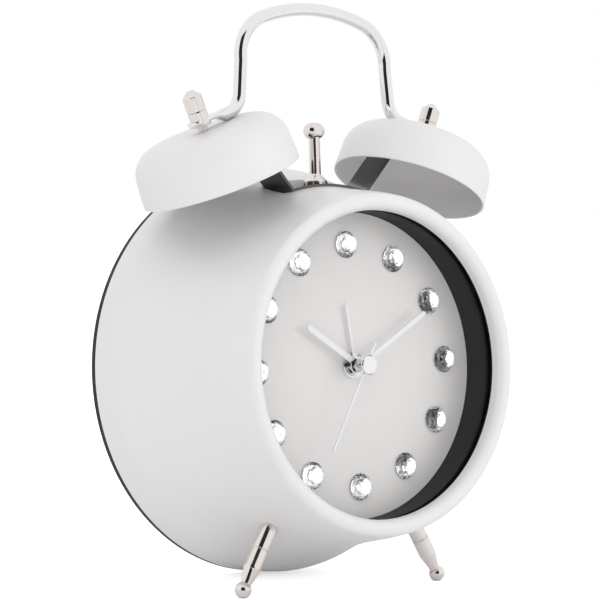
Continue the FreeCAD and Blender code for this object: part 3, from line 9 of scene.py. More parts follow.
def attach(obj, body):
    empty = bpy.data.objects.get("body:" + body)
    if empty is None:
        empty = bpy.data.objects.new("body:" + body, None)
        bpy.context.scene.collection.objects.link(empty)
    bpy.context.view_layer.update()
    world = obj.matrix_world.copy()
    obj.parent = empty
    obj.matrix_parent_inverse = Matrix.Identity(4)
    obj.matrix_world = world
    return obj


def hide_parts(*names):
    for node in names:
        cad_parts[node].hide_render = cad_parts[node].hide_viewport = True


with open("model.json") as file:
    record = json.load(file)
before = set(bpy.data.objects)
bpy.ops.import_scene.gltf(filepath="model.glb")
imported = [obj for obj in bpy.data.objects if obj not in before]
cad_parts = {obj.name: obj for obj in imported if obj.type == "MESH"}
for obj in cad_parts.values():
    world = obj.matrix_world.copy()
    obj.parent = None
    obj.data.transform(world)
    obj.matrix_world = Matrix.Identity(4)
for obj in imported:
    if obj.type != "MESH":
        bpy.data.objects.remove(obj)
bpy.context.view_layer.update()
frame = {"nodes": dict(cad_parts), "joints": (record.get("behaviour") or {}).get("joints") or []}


# Sizes here are in millimetres in the clock's own frame: the y axis is the dial's, with y = 0 a
# little in front of the dial's face, the viewer is at -y and z is up. clockToRow leans that frame
# back as the clock stands, and turns it into metres.

def readClockFrame():
    spin = [joint for joint in frame["joints"] if joint["name"] == "minute_turn"][0]
    right = Vector((1, 0, 0))
    back = Vector(spin["axis"]).normalized()
    up = right.cross(back)
    place = Matrix.Identity(4)
    for row in range(3):
        place[row][0], place[row][1], place[row][2] = right[row], back[row], up[row]
        place[row][3] = spin["pos_m"][row]
    return place @ Matrix.Scale(0.001, 4)


clockToRow = readClockFrame()
# turns a lathed piece's own upright axis onto the dial's axis
aboutDial = Matrix.Rotation(math.radians(-90), 4, "X")


# Mesh making

def arcPoints(start, end, radius, side, degreesPerStep):
    # the short arc, with its centre to the left or the right of the way
    chord = end - start
    height = math.sqrt(max(radius ** 2 - (chord.length / 2) ** 2, 0))
    normal = Vector((-chord.y, chord.x)).normalized()
    centre = (start + end) / 2 + normal * (height if side == "left" else -height)
    first = math.atan2(start.y - centre.y, start.x - centre.x)
    last = math.atan2(end.y - centre.y, end.x - centre.x)
    turn = (last - first + math.pi) % (2 * math.pi) - math.pi
    steps = max(3, math.ceil(abs(math.degrees(turn)) / degreesPerStep))
    return [centre + radius * Vector((math.cos(first + turn * k / steps),
                                      math.sin(first + turn * k / steps)))
            for k in range(steps)]


def tracePath(corners, closed=False, degreesPerStep=6):
    # a corner is (across, along) or, where an arc leaves it, (across, along, radius, side)
    points = []
    for index, corner in enumerate(corners):
        start = Vector(corner[:2])
        end = Vector(corners[(index + 1) % len(corners)][:2])
        isLast = index == len(corners) - 1
        if len(corner) == 4 and not (isLast and not closed):
            points += arcPoints(start, end, corner[2], corner[3], degreesPerStep)
        else:
            points.append(start)
    return points


def finishMesh(mesh, name, place, sharpAngle=32):
    mesh.transform(clockToRow @ place)
    made = bpy.data.meshes.new(name)
    bmesh.ops.recalc_face_normals(mesh, faces=mesh.faces)
    mesh.to_mesh(made)
    mesh.free()
    made.shade_smooth()
    made.set_sharp_from_angle(angle=math.radians(sharpAngle))
    piece = bpy.data.objects.new(name, made)
    bpy.context.scene.collection.objects.link(piece)
    return piece


def spinMesh(points, closed, steps):
    mesh = bmesh.new()
    rings = []
    for point in points:
        # a point on the axis is one vertex
        if abs(point.x) < 1e-6:
            rings.append([mesh.verts.new((0, 0, point.y))])
            continue
        rings.append([mesh.verts.new((point.x * math.cos(2 * math.pi * k / steps),
                                      point.x * math.sin(2 * math.pi * k / steps), point.y))
                      for k in range(steps)])
    pairs = list(zip(rings, rings[1:] + rings[:1])) if closed else list(zip(rings, rings[1:]))
    for lower, upper in pairs:
        for k in range(steps):
            corners = [lower[k % len(lower)], lower[(k + 1) % len(lower)],
                       upper[(k + 1) % len(upper)], upper[k % len(upper)]]
            face = list(dict.fromkeys(corners))
            if len(face) > 2:
                mesh.faces.new(face)
    return mesh


def lathe(name, corners, place, closed=True, steps=96, sharpAngle=32, degreesPerStep=6):
    points = tracePath(corners, closed, degreesPerStep)
    return finishMesh(spinMesh(points, closed, steps), name, place, sharpAngle)


def softEdges(piece, width=0.15, rounds=2, angle=35):
    bevel = piece.modifiers.new("softEdge", "BEVEL")
    bevel.width = width / 1000
    bevel.segments = rounds
    bevel.limit_method = "ANGLE"
    bevel.angle_limit = math.radians(angle)
    bevel.harden_normals = True
    return piece


def joinRings(mesh, rings):
    # a closed solid: each ring of vertices joined to the next, and both ends capped
    count = len(rings[0])
    for lower, upper in zip(rings, rings[1:]):
        for k in range(count):
            mesh.faces.new((lower[k], lower[(k + 1) % count], upper[(k + 1) % count], upper[k]))
    mesh.faces.new(rings[0])
    mesh.faces.new(list(reversed(rings[-1])))


def sweepMesh(path, sections, name, place):
    # sections has, for each point of the path, a ring of (side, lift) offsets; the side way is +y
    mesh = bmesh.new()
    rings = []
    for index, point in enumerate(path):
        before = path[max(index - 1, 0)]
        after = path[min(index + 1, len(path) - 1)]
        ahead = (after - before).normalized()
        side = Vector((0, 1, 0))
        lift = ahead.cross(side).normalized()
        rings.append([mesh.verts.new(point + side * a + lift * b) for a, b in sections[index]])
    joinRings(mesh, rings)
    return finishMesh(mesh, name, place)


def settle(piece, body, slotName, *nodes):
    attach(piece, body)
    if nodes:
        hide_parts(*nodes)
    return piece


def wear(piece, material):
    piece.data.materials.clear()
    piece.data.materials.append(material)
    return piece


sides = (("Left", -1), ("Right", 1))
# for a mesh that is made in the clock's frame already
inClock = Matrix.Identity(4)


# Shared shader effects

def newGroup(name, inputs, outputs):
    group = bpy.data.node_groups.new(name, "ShaderNodeTree")
    for label, kind, value in inputs:
        socket = group.interface.new_socket(label, in_out="INPUT", socket_type=kind)
        socket.default_value = value
    for label, kind in outputs:
        group.interface.new_socket(label, in_out="OUTPUT", socket_type=kind)
    return group, group.nodes.new("NodeGroupInput"), group.nodes.new("NodeGroupOutput")


def node(tree, kind, **settings):
    made = tree.nodes.new(kind)
    for key, value in settings.items():
        setattr(made, key, value)
    return made


def mathNode(tree, operation, first, second):
    made = node(tree, "ShaderNodeMath", operation=operation)
    for index, value in enumerate((first, second)):
        if hasattr(value, "links"):
            tree.links.new(value, made.inputs[index])
        else:
            made.inputs[index].default_value = value
    return made.outputs[0]


def noiseNode(tree, coordinate, scale, detail=2.0, roughness=0.5):
    made = node(tree, "ShaderNodeTexNoise")
    made.inputs["Detail"].default_value = detail
    made.inputs["Roughness"].default_value = roughness
    tree.links.new(coordinate, made.inputs["Vector"])
    if hasattr(scale, "links"):
        tree.links.new(scale, made.inputs["Scale"])
    else:
        made.inputs["Scale"].default_value = scale
    return made.outputs["Fac"]


def rangeNode(tree, value, fromLow, fromHigh, toLow, toHigh):
    made = node(tree, "ShaderNodeMapRange")
    tree.links.new(value, made.inputs["Value"])
    for label, number in (("From Min", fromLow), ("From Max", fromHigh),
                          ("To Min", toLow), ("To Max", toHigh)):
        if hasattr(number, "links"):
            tree.links.new(number, made.inputs[label])
        else:
            made.inputs[label].default_value = number
    return made.outputs["Result"]


def makePaintSkin():
    # sprayed enamel: a very shallow orange peel, and patches that are a little warmer or duller
    group, inside, outside = newGroup(
        "paintSkin",
        [("Color", "NodeSocketColor", (0.8, 0.8, 0.8, 1)), ("Peel Scale", "NodeSocketFloat", 900.0),
         ("Tone", "NodeSocketFloat", 0.02), ("Roughness", "NodeSocketFloat", 0.4)],
        [("Color", "NodeSocketColor"), ("Roughness", "NodeSocketFloat"), ("Height", "NodeSocketFloat")])
    where = node(group, "ShaderNodeTexCoord").outputs["Object"]
    links = group.links
    peel = noiseNode(group, where, inside.outputs["Peel Scale"], detail=1.5)
    patches = noiseNode(group, where, scale=22.0, detail=3.0)
    shift = rangeNode(group, patches, fromLow=0.3, fromHigh=0.7, toLow=-1.0, toHigh=1.0)
    amount = mathNode(group, "MULTIPLY", shift, inside.outputs["Tone"])
    tone = node(group, "ShaderNodeHueSaturation")
    links.new(inside.outputs["Color"], tone.inputs["Color"])
    links.new(mathNode(group, "ADD", amount, 1.0), tone.inputs["Value"])
    links.new(tone.outputs["Color"], outside.inputs["Color"])
    dulled = mathNode(group, "ADD", inside.outputs["Roughness"], amount)
    links.new(dulled, outside.inputs["Roughness"])
    links.new(peel, outside.inputs["Height"])
    return group


def makeMetalSkin():
    # plated metal: faint smudges and hairlines in the gloss
    group, inside, outside = newGroup(
        "metalSkin",
        [("Roughness", "NodeSocketFloat", 0.08), ("Smudge", "NodeSocketFloat", 0.05),
         ("Hairlines", "NodeSocketFloat", 0.3)],
        [("Roughness", "NodeSocketFloat"), ("Height", "NodeSocketFloat")])
    where = node(group, "ShaderNodeTexCoord").outputs["Object"]
    stretched = node(group, "ShaderNodeMapping")
    stretched.inputs["Scale"].default_value = (260.0, 260.0, 2400.0)
    group.links.new(where, stretched.inputs["Vector"])
    spots = noiseNode(group, where, scale=180.0, detail=3.0)
    smudges = rangeNode(group, spots, fromLow=0.4, fromHigh=0.75, toLow=0.0, toHigh=1.0)
    hairs = noiseNode(group, stretched.outputs["Vector"], scale=1.0, detail=2.0)
    blotch = mathNode(group, "MULTIPLY", smudges, inside.outputs["Smudge"])
    dulled = mathNode(group, "ADD", inside.outputs["Roughness"], blotch)
    group.links.new(dulled, outside.inputs["Roughness"])
    scratched = mathNode(group, "MULTIPLY", hairs, inside.outputs["Hairlines"])
    group.links.new(scratched, outside.inputs["Height"])
    return group


def makeMouldedGrain():
    # moulded plastic: fine spark-eroded grain and soft rub marks
    group, inside, outside = newGroup(
        "mouldedGrain",
        [("Color", "NodeSocketColor", (0.05, 0.05, 0.05, 1)), ("Grain Scale", "NodeSocketFloat", 2600.0),
         ("Roughness", "NodeSocketFloat", 0.5), ("Rub", "NodeSocketFloat", 0.12)],
        [("Color", "NodeSocketColor"), ("Roughness", "NodeSocketFloat"), ("Height", "NodeSocketFloat")])
    where = node(group, "ShaderNodeTexCoord").outputs["Object"]
    grain = noiseNode(group, where, inside.outputs["Grain Scale"], detail=3.0, roughness=0.6)
    spots = noiseNode(group, where, scale=60.0, detail=4.0)
    rubbed = rangeNode(group, spots, fromLow=0.45, fromHigh=0.8, toLow=0.0, toHigh=1.0)
    shine = mathNode(group, "MULTIPLY", rubbed, inside.outputs["Rub"])
    tone = node(group, "ShaderNodeHueSaturation")
    group.links.new(inside.outputs["Color"], tone.inputs["Color"])
    group.links.new(mathNode(group, "ADD", shine, 1.0), tone.inputs["Value"])
    group.links.new(tone.outputs["Color"], outside.inputs["Color"])
    polished = mathNode(group, "SUBTRACT", inside.outputs["Roughness"], shine)
    group.links.new(polished, outside.inputs["Roughness"])
    group.links.new(grain, outside.inputs["Height"])
    return group


paintSkin = makePaintSkin()
metalSkin = makeMetalSkin()
mouldedGrain = makeMouldedGrain()


# Finishes

def newMaterial(name):
    material = bpy.data.materials.new(name)
    material.use_nodes = True
    return material, material.node_tree, material.node_tree.nodes["Principled BSDF"]


def skinMaterial(name, group, settings, bump, bumpDistance, **shader):
    # a Principled surface whose colour, roughness and bump come from one of the shared effects;
    # the bump distance is in metres
    material, tree, surface = newMaterial(name)
    skin = node(tree, "ShaderNodeGroup", node_tree=group)
    for label, value in settings.items():
        skin.inputs[label].default_value = value
    for label, target in (("Color", "Base Color"), ("Roughness", "Roughness")):
        if label in skin.outputs:
            tree.links.new(skin.outputs[label], surface.inputs[target])
    relief = node(tree, "ShaderNodeBump")
    relief.inputs["Strength"].default_value = bump
    relief.inputs["Distance"].default_value = bumpDistance
    tree.links.new(skin.outputs["Height"], relief.inputs["Height"])
    tree.links.new(relief.outputs["Normal"], surface.inputs["Normal"])
    for label, value in shader.items():
        surface.inputs[label.replace("_", " ")].default_value = value
    return material


def paint(name, color, roughness, peel=900.0, tone=0.012, bump=0.12, **shader):
    settings = {"Color": (*color, 1), "Roughness": roughness, "Peel Scale": peel, "Tone": tone}
    return skinMaterial(name, paintSkin, settings, bump, bumpDistance=0.0002, **shader)


def plating(name, color, roughness, smudge=0.04, hairlines=0.3):
    settings = {"Roughness": roughness, "Smudge": smudge, "Hairlines": hairlines}
    return skinMaterial(name, metalSkin, settings, bump=0.02, bumpDistance=0.0001,
                        Base_Color=(*color, 1), Metallic=1.0)


def plastic(name, color, roughness, rub=0.1, **shader):
    settings = {"Color": (*color, 1), "Roughness": roughness, "Grain Scale": 2600.0, "Rub": rub}
    return skinMaterial(name, mouldedGrain, settings, bump=0.2, bumpDistance=0.0001, **shader)


caseEnamel = paint("caseEnamel", (0.80, 0.79, 0.79), 0.42, Coat_Weight=0.15, Coat_Roughness=0.25)
bellEnamel = paint("bellEnamel", (0.80, 0.79, 0.79), 0.46, Coat_Weight=0.1, Coat_Roughness=0.3)
handleChrome = plating("handleChrome", (0.80, 0.81, 0.83), 0.05)
warmNickel = plating("warmNickel", (0.78, 0.73, 0.70), 0.09)
hubChrome = plating("hubChrome", (0.80, 0.80, 0.81), 0.10)
stripBlack = paint("stripBlack", (0.030, 0.030, 0.033), 0.3, Coat_Weight=1.0, Coat_Roughness=0.06)
coverBlack = plastic("coverBlack", (0.012, 0.012, 0.013), 0.55, Specular_IOR_Level=0.35)
moduleBlack = plastic("moduleBlack", (0.018, 0.018, 0.019), 0.42, rub=0.05)
knobBlack = plastic("knobBlack", (0.022, 0.022, 0.023), 0.38)
switchRed = plastic("switchRed", (0.42, 0.02, 0.015), 0.32)
ringGrey = plastic("ringGrey", (0.012, 0.012, 0.012), 0.6, rub=0.0, Specular_IOR_Level=0.25)
gasketRubber = plastic("gasketRubber", (0.004, 0.0035, 0.003), 0.7, rub=0.0, Specular_IOR_Level=0.2)
dialSilver = paint("dialSilver", (0.785, 0.765, 0.755), 0.38, peel=3500.0, tone=0.006, bump=0.06)
screwSteel = plating("screwSteel", (0.56, 0.56, 0.57), 0.28, hairlines=0.6)
contactSteel = plating("contactSteel", (0.66, 0.66, 0.66), 0.22)
wheelPlastic = plastic("wheelPlastic", (0.62, 0.60, 0.54), 0.35)
platePlastic = plastic("platePlastic", (0.22, 0.22, 0.21), 0.5)
boardGreen = plastic("boardGreen", (0.02, 0.11, 0.045), 0.35)
coilCopper = plating("coilCopper", (0.70, 0.30, 0.15), 0.3, hairlines=1.0)
buzzerBlack = plastic("buzzerBlack", (0.02, 0.02, 0.02), 0.3)


def makeGlass(name, tint, shine):
    # thin clear glass: the front face mirrors a little, and nothing behind it is displaced
    material, tree, _ = newMaterial(name)
    through = node(tree, "ShaderNodeBsdfTransparent")
    through.inputs["Color"].default_value = (*tint, 1)
    mirror = node(tree, "ShaderNodeBsdfGlossy")
    mirror.inputs["Roughness"].default_value = 0.0
    edge = node(tree, "ShaderNodeFresnel")
    edge.inputs["IOR"].default_value = 1.45
    front = mathNode(tree, "SUBTRACT", 1.0, node(tree, "ShaderNodeNewGeometry").outputs["Backfacing"])
    lit = mathNode(tree, "SUBTRACT", 1.0, node(tree, "ShaderNodeLightPath").outputs["Is Shadow Ray"])
    amount = mathNode(tree, "MULTIPLY", mathNode(tree, "MULTIPLY", edge.outputs["Fac"], shine),
                      mathNode(tree, "MULTIPLY", front, lit))
    choose = node(tree, "ShaderNodeMixShader")
    tree.links.new(amount, choose.inputs["Fac"])
    tree.links.new(through.outputs["BSDF"], choose.inputs[1])
    tree.links.new(mirror.outputs["BSDF"], choose.inputs[2])
    tree.links.new(choose.outputs["Shader"], tree.nodes["Material Output"].inputs["Surface"])
    return material


lensGlass = makeGlass("lensGlass", tint=(0.995, 0.995, 0.995), shine=0.3)


def fromHub(tree):
    # a point's place from the dial's centre, and the direction of the hands' axis
    centre = clockToRow @ Vector((0, 0, 0))
    axis = (clockToRow.to_3x3() @ Vector((0, 1, 0))).normalized()
    where = node(tree, "ShaderNodeTexCoord").outputs["Object"]
    away = node(tree, "ShaderNodeVectorMath", operation="SUBTRACT")
    away.inputs[1].default_value = centre
    tree.links.new(where, away.inputs[0])
    return away.outputs["Vector"], axis


def beforeDepth(tree, limit):
    # 1 where a point lies nearer the viewer than this depth behind the dial, in metres
    away, axis = fromHub(tree)
    depth = node(tree, "ShaderNodeVectorMath", operation="DOT_PRODUCT")
    depth.inputs[1].default_value = axis
    tree.links.new(away, depth.inputs[0])
    return mathNode(tree, "LESS_THAN", depth.outputs["Value"], limit)


def nearHub(tree, limit):
    # 1 where a point lies closer to the hands' axis than this radius, in metres
    away, axis = fromHub(tree)
    turned = node(tree, "ShaderNodeVectorMath", operation="CROSS_PRODUCT")
    turned.inputs[1].default_value = axis
    tree.links.new(away, turned.inputs[0])
    radius = node(tree, "ShaderNodeVectorMath", operation="LENGTH")
    tree.links.new(turned.outputs["Vector"], radius.inputs[0])
    return mathNode(tree, "LESS_THAN", radius.outputs["Value"], limit)


def twoSkins(name, outside, inside, maskOf, limit):
    # two looks on one piece, the inside one where the mask is 1
    material, tree, surface = newMaterial(name)
    mask = maskOf(tree, limit)
    # a colour mix takes its factor at input 0 and its two colours at inputs 6 and 7
    tone = node(tree, "ShaderNodeMix", data_type="RGBA")
    tree.links.new(mask, tone.inputs[0])
    tone.inputs[6].default_value = (*outside[0], 1)
    tone.inputs[7].default_value = (*inside[0], 1)
    tree.links.new(tone.outputs[2], surface.inputs["Base Color"])
    for label, index in (("Metallic", 1), ("Roughness", 2)):
        value = rangeNode(tree, mask, 0.0, 1.0, outside[index], inside[index])
        tree.links.new(value, surface.inputs[label])
    return material


# each look is a colour, a metallic value and a roughness; the limits are in metres
chromeLook = ((0.80, 0.80, 0.81), 1.0, 0.08)
whiteLook = ((0.84, 0.84, 0.84), 0.0, 0.4)
wheelLook = ((0.62, 0.60, 0.54), 0.0, 0.35)
skinLimits = {"platedFront": 0.002, "capFace": -0.00955, "handBoss": 0.0041}
arborSkin = twoSkins("arborSkin", wheelLook, chromeLook, beforeDepth, skinLimits["platedFront"])
capSkin = twoSkins("capSkin", chromeLook, whiteLook, beforeDepth, skinLimits["capFace"])
handSkin = twoSkins("handSkin", whiteLook, chromeLook, nearHub, skinLimits["handBoss"])


def makeCrystal():
    material, _, surface = newMaterial("cutCrystal")
    surface.inputs["Base Color"].default_value = (0.97, 0.98, 1.0, 1)
    surface.inputs["Roughness"].default_value = 0.0
    surface.inputs["IOR"].default_value = 1.56
    surface.inputs["Transmission Weight"].default_value = 1.0
    return material


cutCrystal = makeCrystal()
crystalFoil = plating("crystalFoil", (0.84, 0.84, 0.845), 0.16, smudge=0.0, hairlines=0.0)
print("finishes made")


# Case

caseSizes = {
    "opening": 60.5, "wall": 0.9, "lipFront": 20.2, "lipRoll": 3.4, "lipTilt": 12.0,
    "flangeEnd": 14.4, "waist": 69.4, "waistFront": 4.8, "flankCurve": 125.0, "flareCurve": 170.0,
    "shoulder": 81.1, "shoulderBack": 42.5, "shoulderCurve": 20.5, "band": 82.7, "bandStart": 50.5,
    "back": 60.5, "backEdge": 0.3, "seatFloor": 71.9, "seatFront": 11.45, "seatBack": 27.55,
    "seatAngle": 17.7, "seatSide": 0.7, "seatSteps": 26, "seatSink": 0.05, "rimStep": 5,
    "hollowAhead": 2, "hollowHeight": 20,
}


def caseOutline(s):
    wall, roll = s["wall"], s["lipRoll"]
    middle = s["opening"] + roll
    centre = roll - s["lipFront"]
    tilt = math.radians(s["lipTilt"])

    def lipEnd(radius):
        return middle + radius * math.cos(tilt), centre - radius * math.sin(tilt)

    inner = roll - wall
    edge = s["backEdge"]
    return [
        (s["opening"], -s["flangeEnd"]), (s["opening"], centre, roll, "left"),
        (middle, -s["lipFront"], roll, "left"), (*lipEnd(roll), s["flankCurve"], "left"),
        (s["waist"], -s["waistFront"], s["flareCurve"], "right"),
        (s["shoulder"], s["shoulderBack"], s["shoulderCurve"], "left"),
        (s["band"], s["bandStart"]), (s["band"], s["back"] - edge, edge, "left"),
        (s["band"] - edge, s["back"]), (s["band"] - wall, s["back"]),
        (s["band"] - wall, s["bandStart"], s["shoulderCurve"] - wall, "right"),
        (s["shoulder"] - wall, s["shoulderBack"], s["flareCurve"] + wall, "left"),
        (s["waist"] - wall, -s["waistFront"], s["flankCurve"] - wall, "right"),
        (*lipEnd(inner), inner, "right"), (middle, wall - s["lipFront"], inner, "right"),
        (s["opening"] + wall, centre), (s["opening"] + wall, -s["flangeEnd"]),
    ]


def wedge(outline, halfAngle, steps):
    # a solid swept round the dial's axis, symmetric about straight up; outline is (y, radius)
    mesh = bmesh.new()
    rings = []
    for k in range(steps + 1):
        angle = math.radians(-halfAngle + 2 * halfAngle * k / steps)
        rings.append([mesh.verts.new((r * math.sin(angle), y, r * math.cos(angle)))
                      for y, r in outline])
    joinRings(mesh, rings)
    return mesh


def carve(piece, cutter, operation):
    modifier = piece.modifiers.new("carve", "BOOLEAN")
    modifier.operation = operation
    modifier.object = cutter
    modifier.solver = "EXACT"
    evaluated = piece.evaluated_get(bpy.context.evaluated_depsgraph_get())
    carved = bpy.data.meshes.new_from_object(evaluated)
    piece.modifiers.remove(modifier)
    old = piece.data
    piece.data = carved
    carved.name = old.name
    bpy.data.meshes.remove(old)
    bpy.data.objects.remove(cutter)


def flareRadius(s, y):
    # the flare's outer radius at a depth, on the arc from the waist to the shoulder
    points = arcPoints(Vector((s["waist"], -s["waistFront"])), Vector((s["shoulder"], s["shoulderBack"])),
                       s["flareCurve"], "right", degreesPerStep=0.5)
    below = [p for p in points if p.y <= y][-1]
    above = [p for p in points if p.y >= y][0]
    share = 0 if above.y == below.y else (y - below.y) / (above.y - below.y)
    return below.x + (above.x - below.x) * share


def makeCase(s):
    shell = lathe("caseBody", caseOutline(s), aboutDial, steps=288, degreesPerStep=5)
    wall, floor = s["wall"], s["seatFloor"]
    front, back = s["seatFront"] - wall, s["seatBack"] + wall
    depths = [back - s["rimStep"] * k for k in range(4)] + [front]
    rim = [(y, flareRadius(s, y) - s["seatSink"]) for y in depths]
    outline = [(front, floor - wall), (back, floor - wall)] + rim
    tray = wedge(outline, s["seatAngle"] + s["seatSide"], s["seatSteps"])
    carve(shell, finishMesh(tray, "seatTray", inClock), "UNION")
    start, top = front - s["hollowAhead"], floor + s["hollowHeight"]
    outline = [(start, floor), (s["seatBack"], floor), (s["seatBack"], top), (start, top)]
    hollow = wedge(outline, s["seatAngle"], s["seatSteps"])
    carve(shell, finishMesh(hollow, "seatHollow", inClock), "DIFFERENCE")
    shell.data.set_sharp_from_angle(angle=math.radians(30))
    wear(shell, caseEnamel)
    settle(softEdges(shell, width=0.25), "clock", "case_enamel", "case_shell")


makeCase(caseSizes)
print("case made")


# Dial side

dialSide = {
    "gasketInner": 60.6, "gasketOuter": 64.0, "gasketFront": -14.4, "gasketBack": -10.6,
    "lens": 62.3, "lensFront": -13.5, "lensBack": -11.5,
    "ringInner": 60.9, "ringOuter": 64.0, "ringFlange": 68.1, "flangeFront": -0.8,
    "plate": 68.1, "bush": 3.95, "plateFront": 1.2, "plateBack": 2.0,
}


def makeDialSide(s):
    gasket = [(s["gasketInner"], s["gasketFront"]), (s["gasketOuter"], s["gasketFront"]),
              (s["gasketOuter"], s["gasketBack"]), (s["gasketInner"], s["gasketBack"]),
              (s["gasketInner"], s["lensBack"]), (s["lens"], s["lensBack"]),
              (s["lens"], s["lensFront"]), (s["gasketInner"], s["lensFront"])]
    piece = lathe("lensGasket", gasket, aboutDial, steps=192)
    settle(softEdges(wear(piece, gasketRubber)), "clock", "gasket_rubber", "lens_gasket")
    glass = [(0, s["lensFront"]), (s["lens"], s["lensFront"]),
             (s["lens"], s["lensBack"]), (0, s["lensBack"])]
    piece = lathe("lensDisc", glass, aboutDial, closed=False, steps=192)
    settle(wear(piece, lensGlass), "clock", "lens_glass", "lens")
    ring = [(s["ringInner"], s["gasketBack"]), (s["ringOuter"], s["gasketBack"]),
            (s["ringOuter"], s["flangeFront"]), (s["ringFlange"], s["flangeFront"]),
            (s["ringFlange"], s["plateFront"]), (s["ringInner"], s["plateFront"])]
    piece = lathe("spacerRing", ring, aboutDial, steps=192)
    settle(wear(piece, ringGrey), "clock", "ring_grey", "dial_ring")
    plate = [(s["bush"], s["plateFront"]), (s["plate"], s["plateFront"]),
             (s["plate"], s["plateBack"]), (s["bush"], s["plateBack"])]
    piece = lathe("dialDisc", plate, aboutDial, steps=192)
    settle(wear(piece, dialSilver), "clock", "dial_silver", "dial_plate")


makeDialSide(dialSide)


crystalSizes = {
    "circle": 48.0, "girdle": 5.35, "girdleHeight": 0.9, "crownRing": 4.3, "crownHeight": 2.2,
    "table": 3.1, "tableHeight": 3.15, "turn": -2.2, "plane": 1.2,
    "baseShare": 0.985, "baseRise": 0.4, "foilRise": 0.35, "foilFootShare": 0.86,
    "starShare": 0.5, "starHeight": 0.45, "tipHeight": 0.02,
}


def gemRing(count, radius, height, offset=0.0):
    turns = [2 * math.pi * (k + offset) / count for k in range(count)]
    return [Vector((radius * math.cos(turn), -height, radius * math.sin(turn))) for turn in turns]


def gemFaces(s, place):
    # a flat-backed brilliant: sixteen girdle points, a ring of kites and an eight-sided table
    base = place(gemRing(16, s["girdle"] * s["baseShare"], s["girdleHeight"] * s["baseRise"]))
    girdle = place(gemRing(16, s["girdle"], s["girdleHeight"]))
    crown = place(gemRing(8, s["crownRing"], s["crownHeight"], 0.5))
    table = place(gemRing(8, s["table"], s["tableHeight"]))
    centre = place([Vector((0, -s["girdleHeight"] * s["baseRise"], 0))])[0]
    faces = []
    for k in range(16):
        faces.append((base[k], base[(k + 1) % 16], girdle[(k + 1) % 16], girdle[k]))
        faces.append((base[(k + 1) % 16], base[k], centre))
    for k in range(8):
        faces.append((girdle[2 * k], girdle[2 * k + 1], crown[k]))
        faces.append((girdle[2 * k + 1], girdle[(2 * k + 2) % 16], crown[k]))
        faces.append((crown[k - 1], girdle[2 * k], crown[k], table[k]))
        faces.append((crown[k], table[(k + 1) % 8], table[k]))
    return faces + [table]


def foilFaces(s, place):
    # the bright back under a gem: a skirt, and a shallow star that rises to a point
    rim = place(gemRing(16, s["girdle"], s["girdleHeight"] * s["foilRise"]))
    foot = place(gemRing(16, s["girdle"] * s["foilFootShare"], 0.0))
    tip = place([Vector((0, -s["tipHeight"], 0))])[0]
    star = place(gemRing(8, s["girdle"] * s["starShare"], s["starHeight"], 0.5))
    faces = [(rim[k], rim[(k + 1) % 16], foot[(k + 1) % 16], foot[k]) for k in range(16)]
    faces += [(rim[(k + 1) % 16], rim[k], star[k // 2]) for k in range(16)]
    for k in range(8):
        faces.append((star[k], rim[(2 * k + 2) % 16], star[(k + 1) % 8]))
        faces.append((star[k], star[(k + 1) % 8], tip))
    return faces


def makeCrystals(s, name, material, facesOf, *nodes):
    # one mesh of twelve gems or twelve foils, each turned to its hour
    mesh = bmesh.new()
    for hour in range(12):
        spin = Matrix.Rotation(math.radians(30 * hour + s["turn"]), 4, "Y")
        shift = Vector((0, s["plane"], s["circle"]))

        def place(points):
            return [mesh.verts.new(spin @ (point + shift)) for point in points]

        for face in facesOf(s, place):
            mesh.faces.new(face)
    piece = finishMesh(mesh, name, inClock, sharpAngle=2)
    settle(wear(piece, material), "clock", "crystal", *nodes)


makeCrystals(crystalSizes, "hourGems", cutCrystal, gemFaces, "hour_crystals")
makeCrystals(crystalSizes, "gemFoils", crystalFoil, foilFaces)
print("dial made")


# Hub and hands

hubSizes = {"nut": 5.4, "bush": 3.95, "nutFront": 0.2, "plane": 1.2, "edge": 0.3, "boreEdge": 0.2}


def makeHub(s):
    edge, front = s["edge"], s["nutFront"]
    nut = [(s["bush"], s["plane"]), (s["nut"], s["plane"]), (s["nut"], front + edge, edge, "left"),
           (s["nut"] - edge, front), (s["bush"] + s["boreEdge"], front),
           (s["bush"], front + s["boreEdge"])]
    piece = lathe("dialNut", nut, aboutDial, steps=64)
    settle(wear(piece, hubChrome), "clock", "hub_chrome", "dial_nut")


makeHub(hubSizes)
for nodeName in ("alarm_hand", "hour_hand", "minute_hand", "second_hand"):
    wear(frame["nodes"][nodeName], handSkin)
    softEdges(frame["nodes"][nodeName], width=0.08)
wear(frame["nodes"]["second_cap"], capSkin)
print("hands dressed")


# Bells and their fixings

bellSizes = {
    "reach": 48.4, "rise": 72.9, "depth": 19.5, "tilt": 22.2,
    "rim": 32.1, "crown": 20.4, "shoulder": 11.0, "height": 21.3, "wall": 1.0, "hole": 2.1,
    "lug": 2.2, "stud": 1.95, "studHead": 3.6, "studHeadDepth": 2.6, "stripWall": 1.2,
    "studEdge": 0.6, "studEntry": 1, "nut": 3.9, "barrel": 12.0, "nutGap": 0.05, "nutEdge": 0.25,
    "seam": 0.3, "shoulderIn": 0.2, "shoulderRise": 0.25, "shoulderRound": 0.5,
    "cone": 2.6, "tip": 1.2, "tipOut": 0.3, "tipIn": 0.4, "tipRise": 0.25, "tipRound": 0.6,
}


def bellPlace(s, side):
    return (Matrix.Translation((side * s["reach"], s["depth"], s["rise"]))
            @ Matrix.Rotation(math.radians(side * s["tilt"]), 4, "Y"))


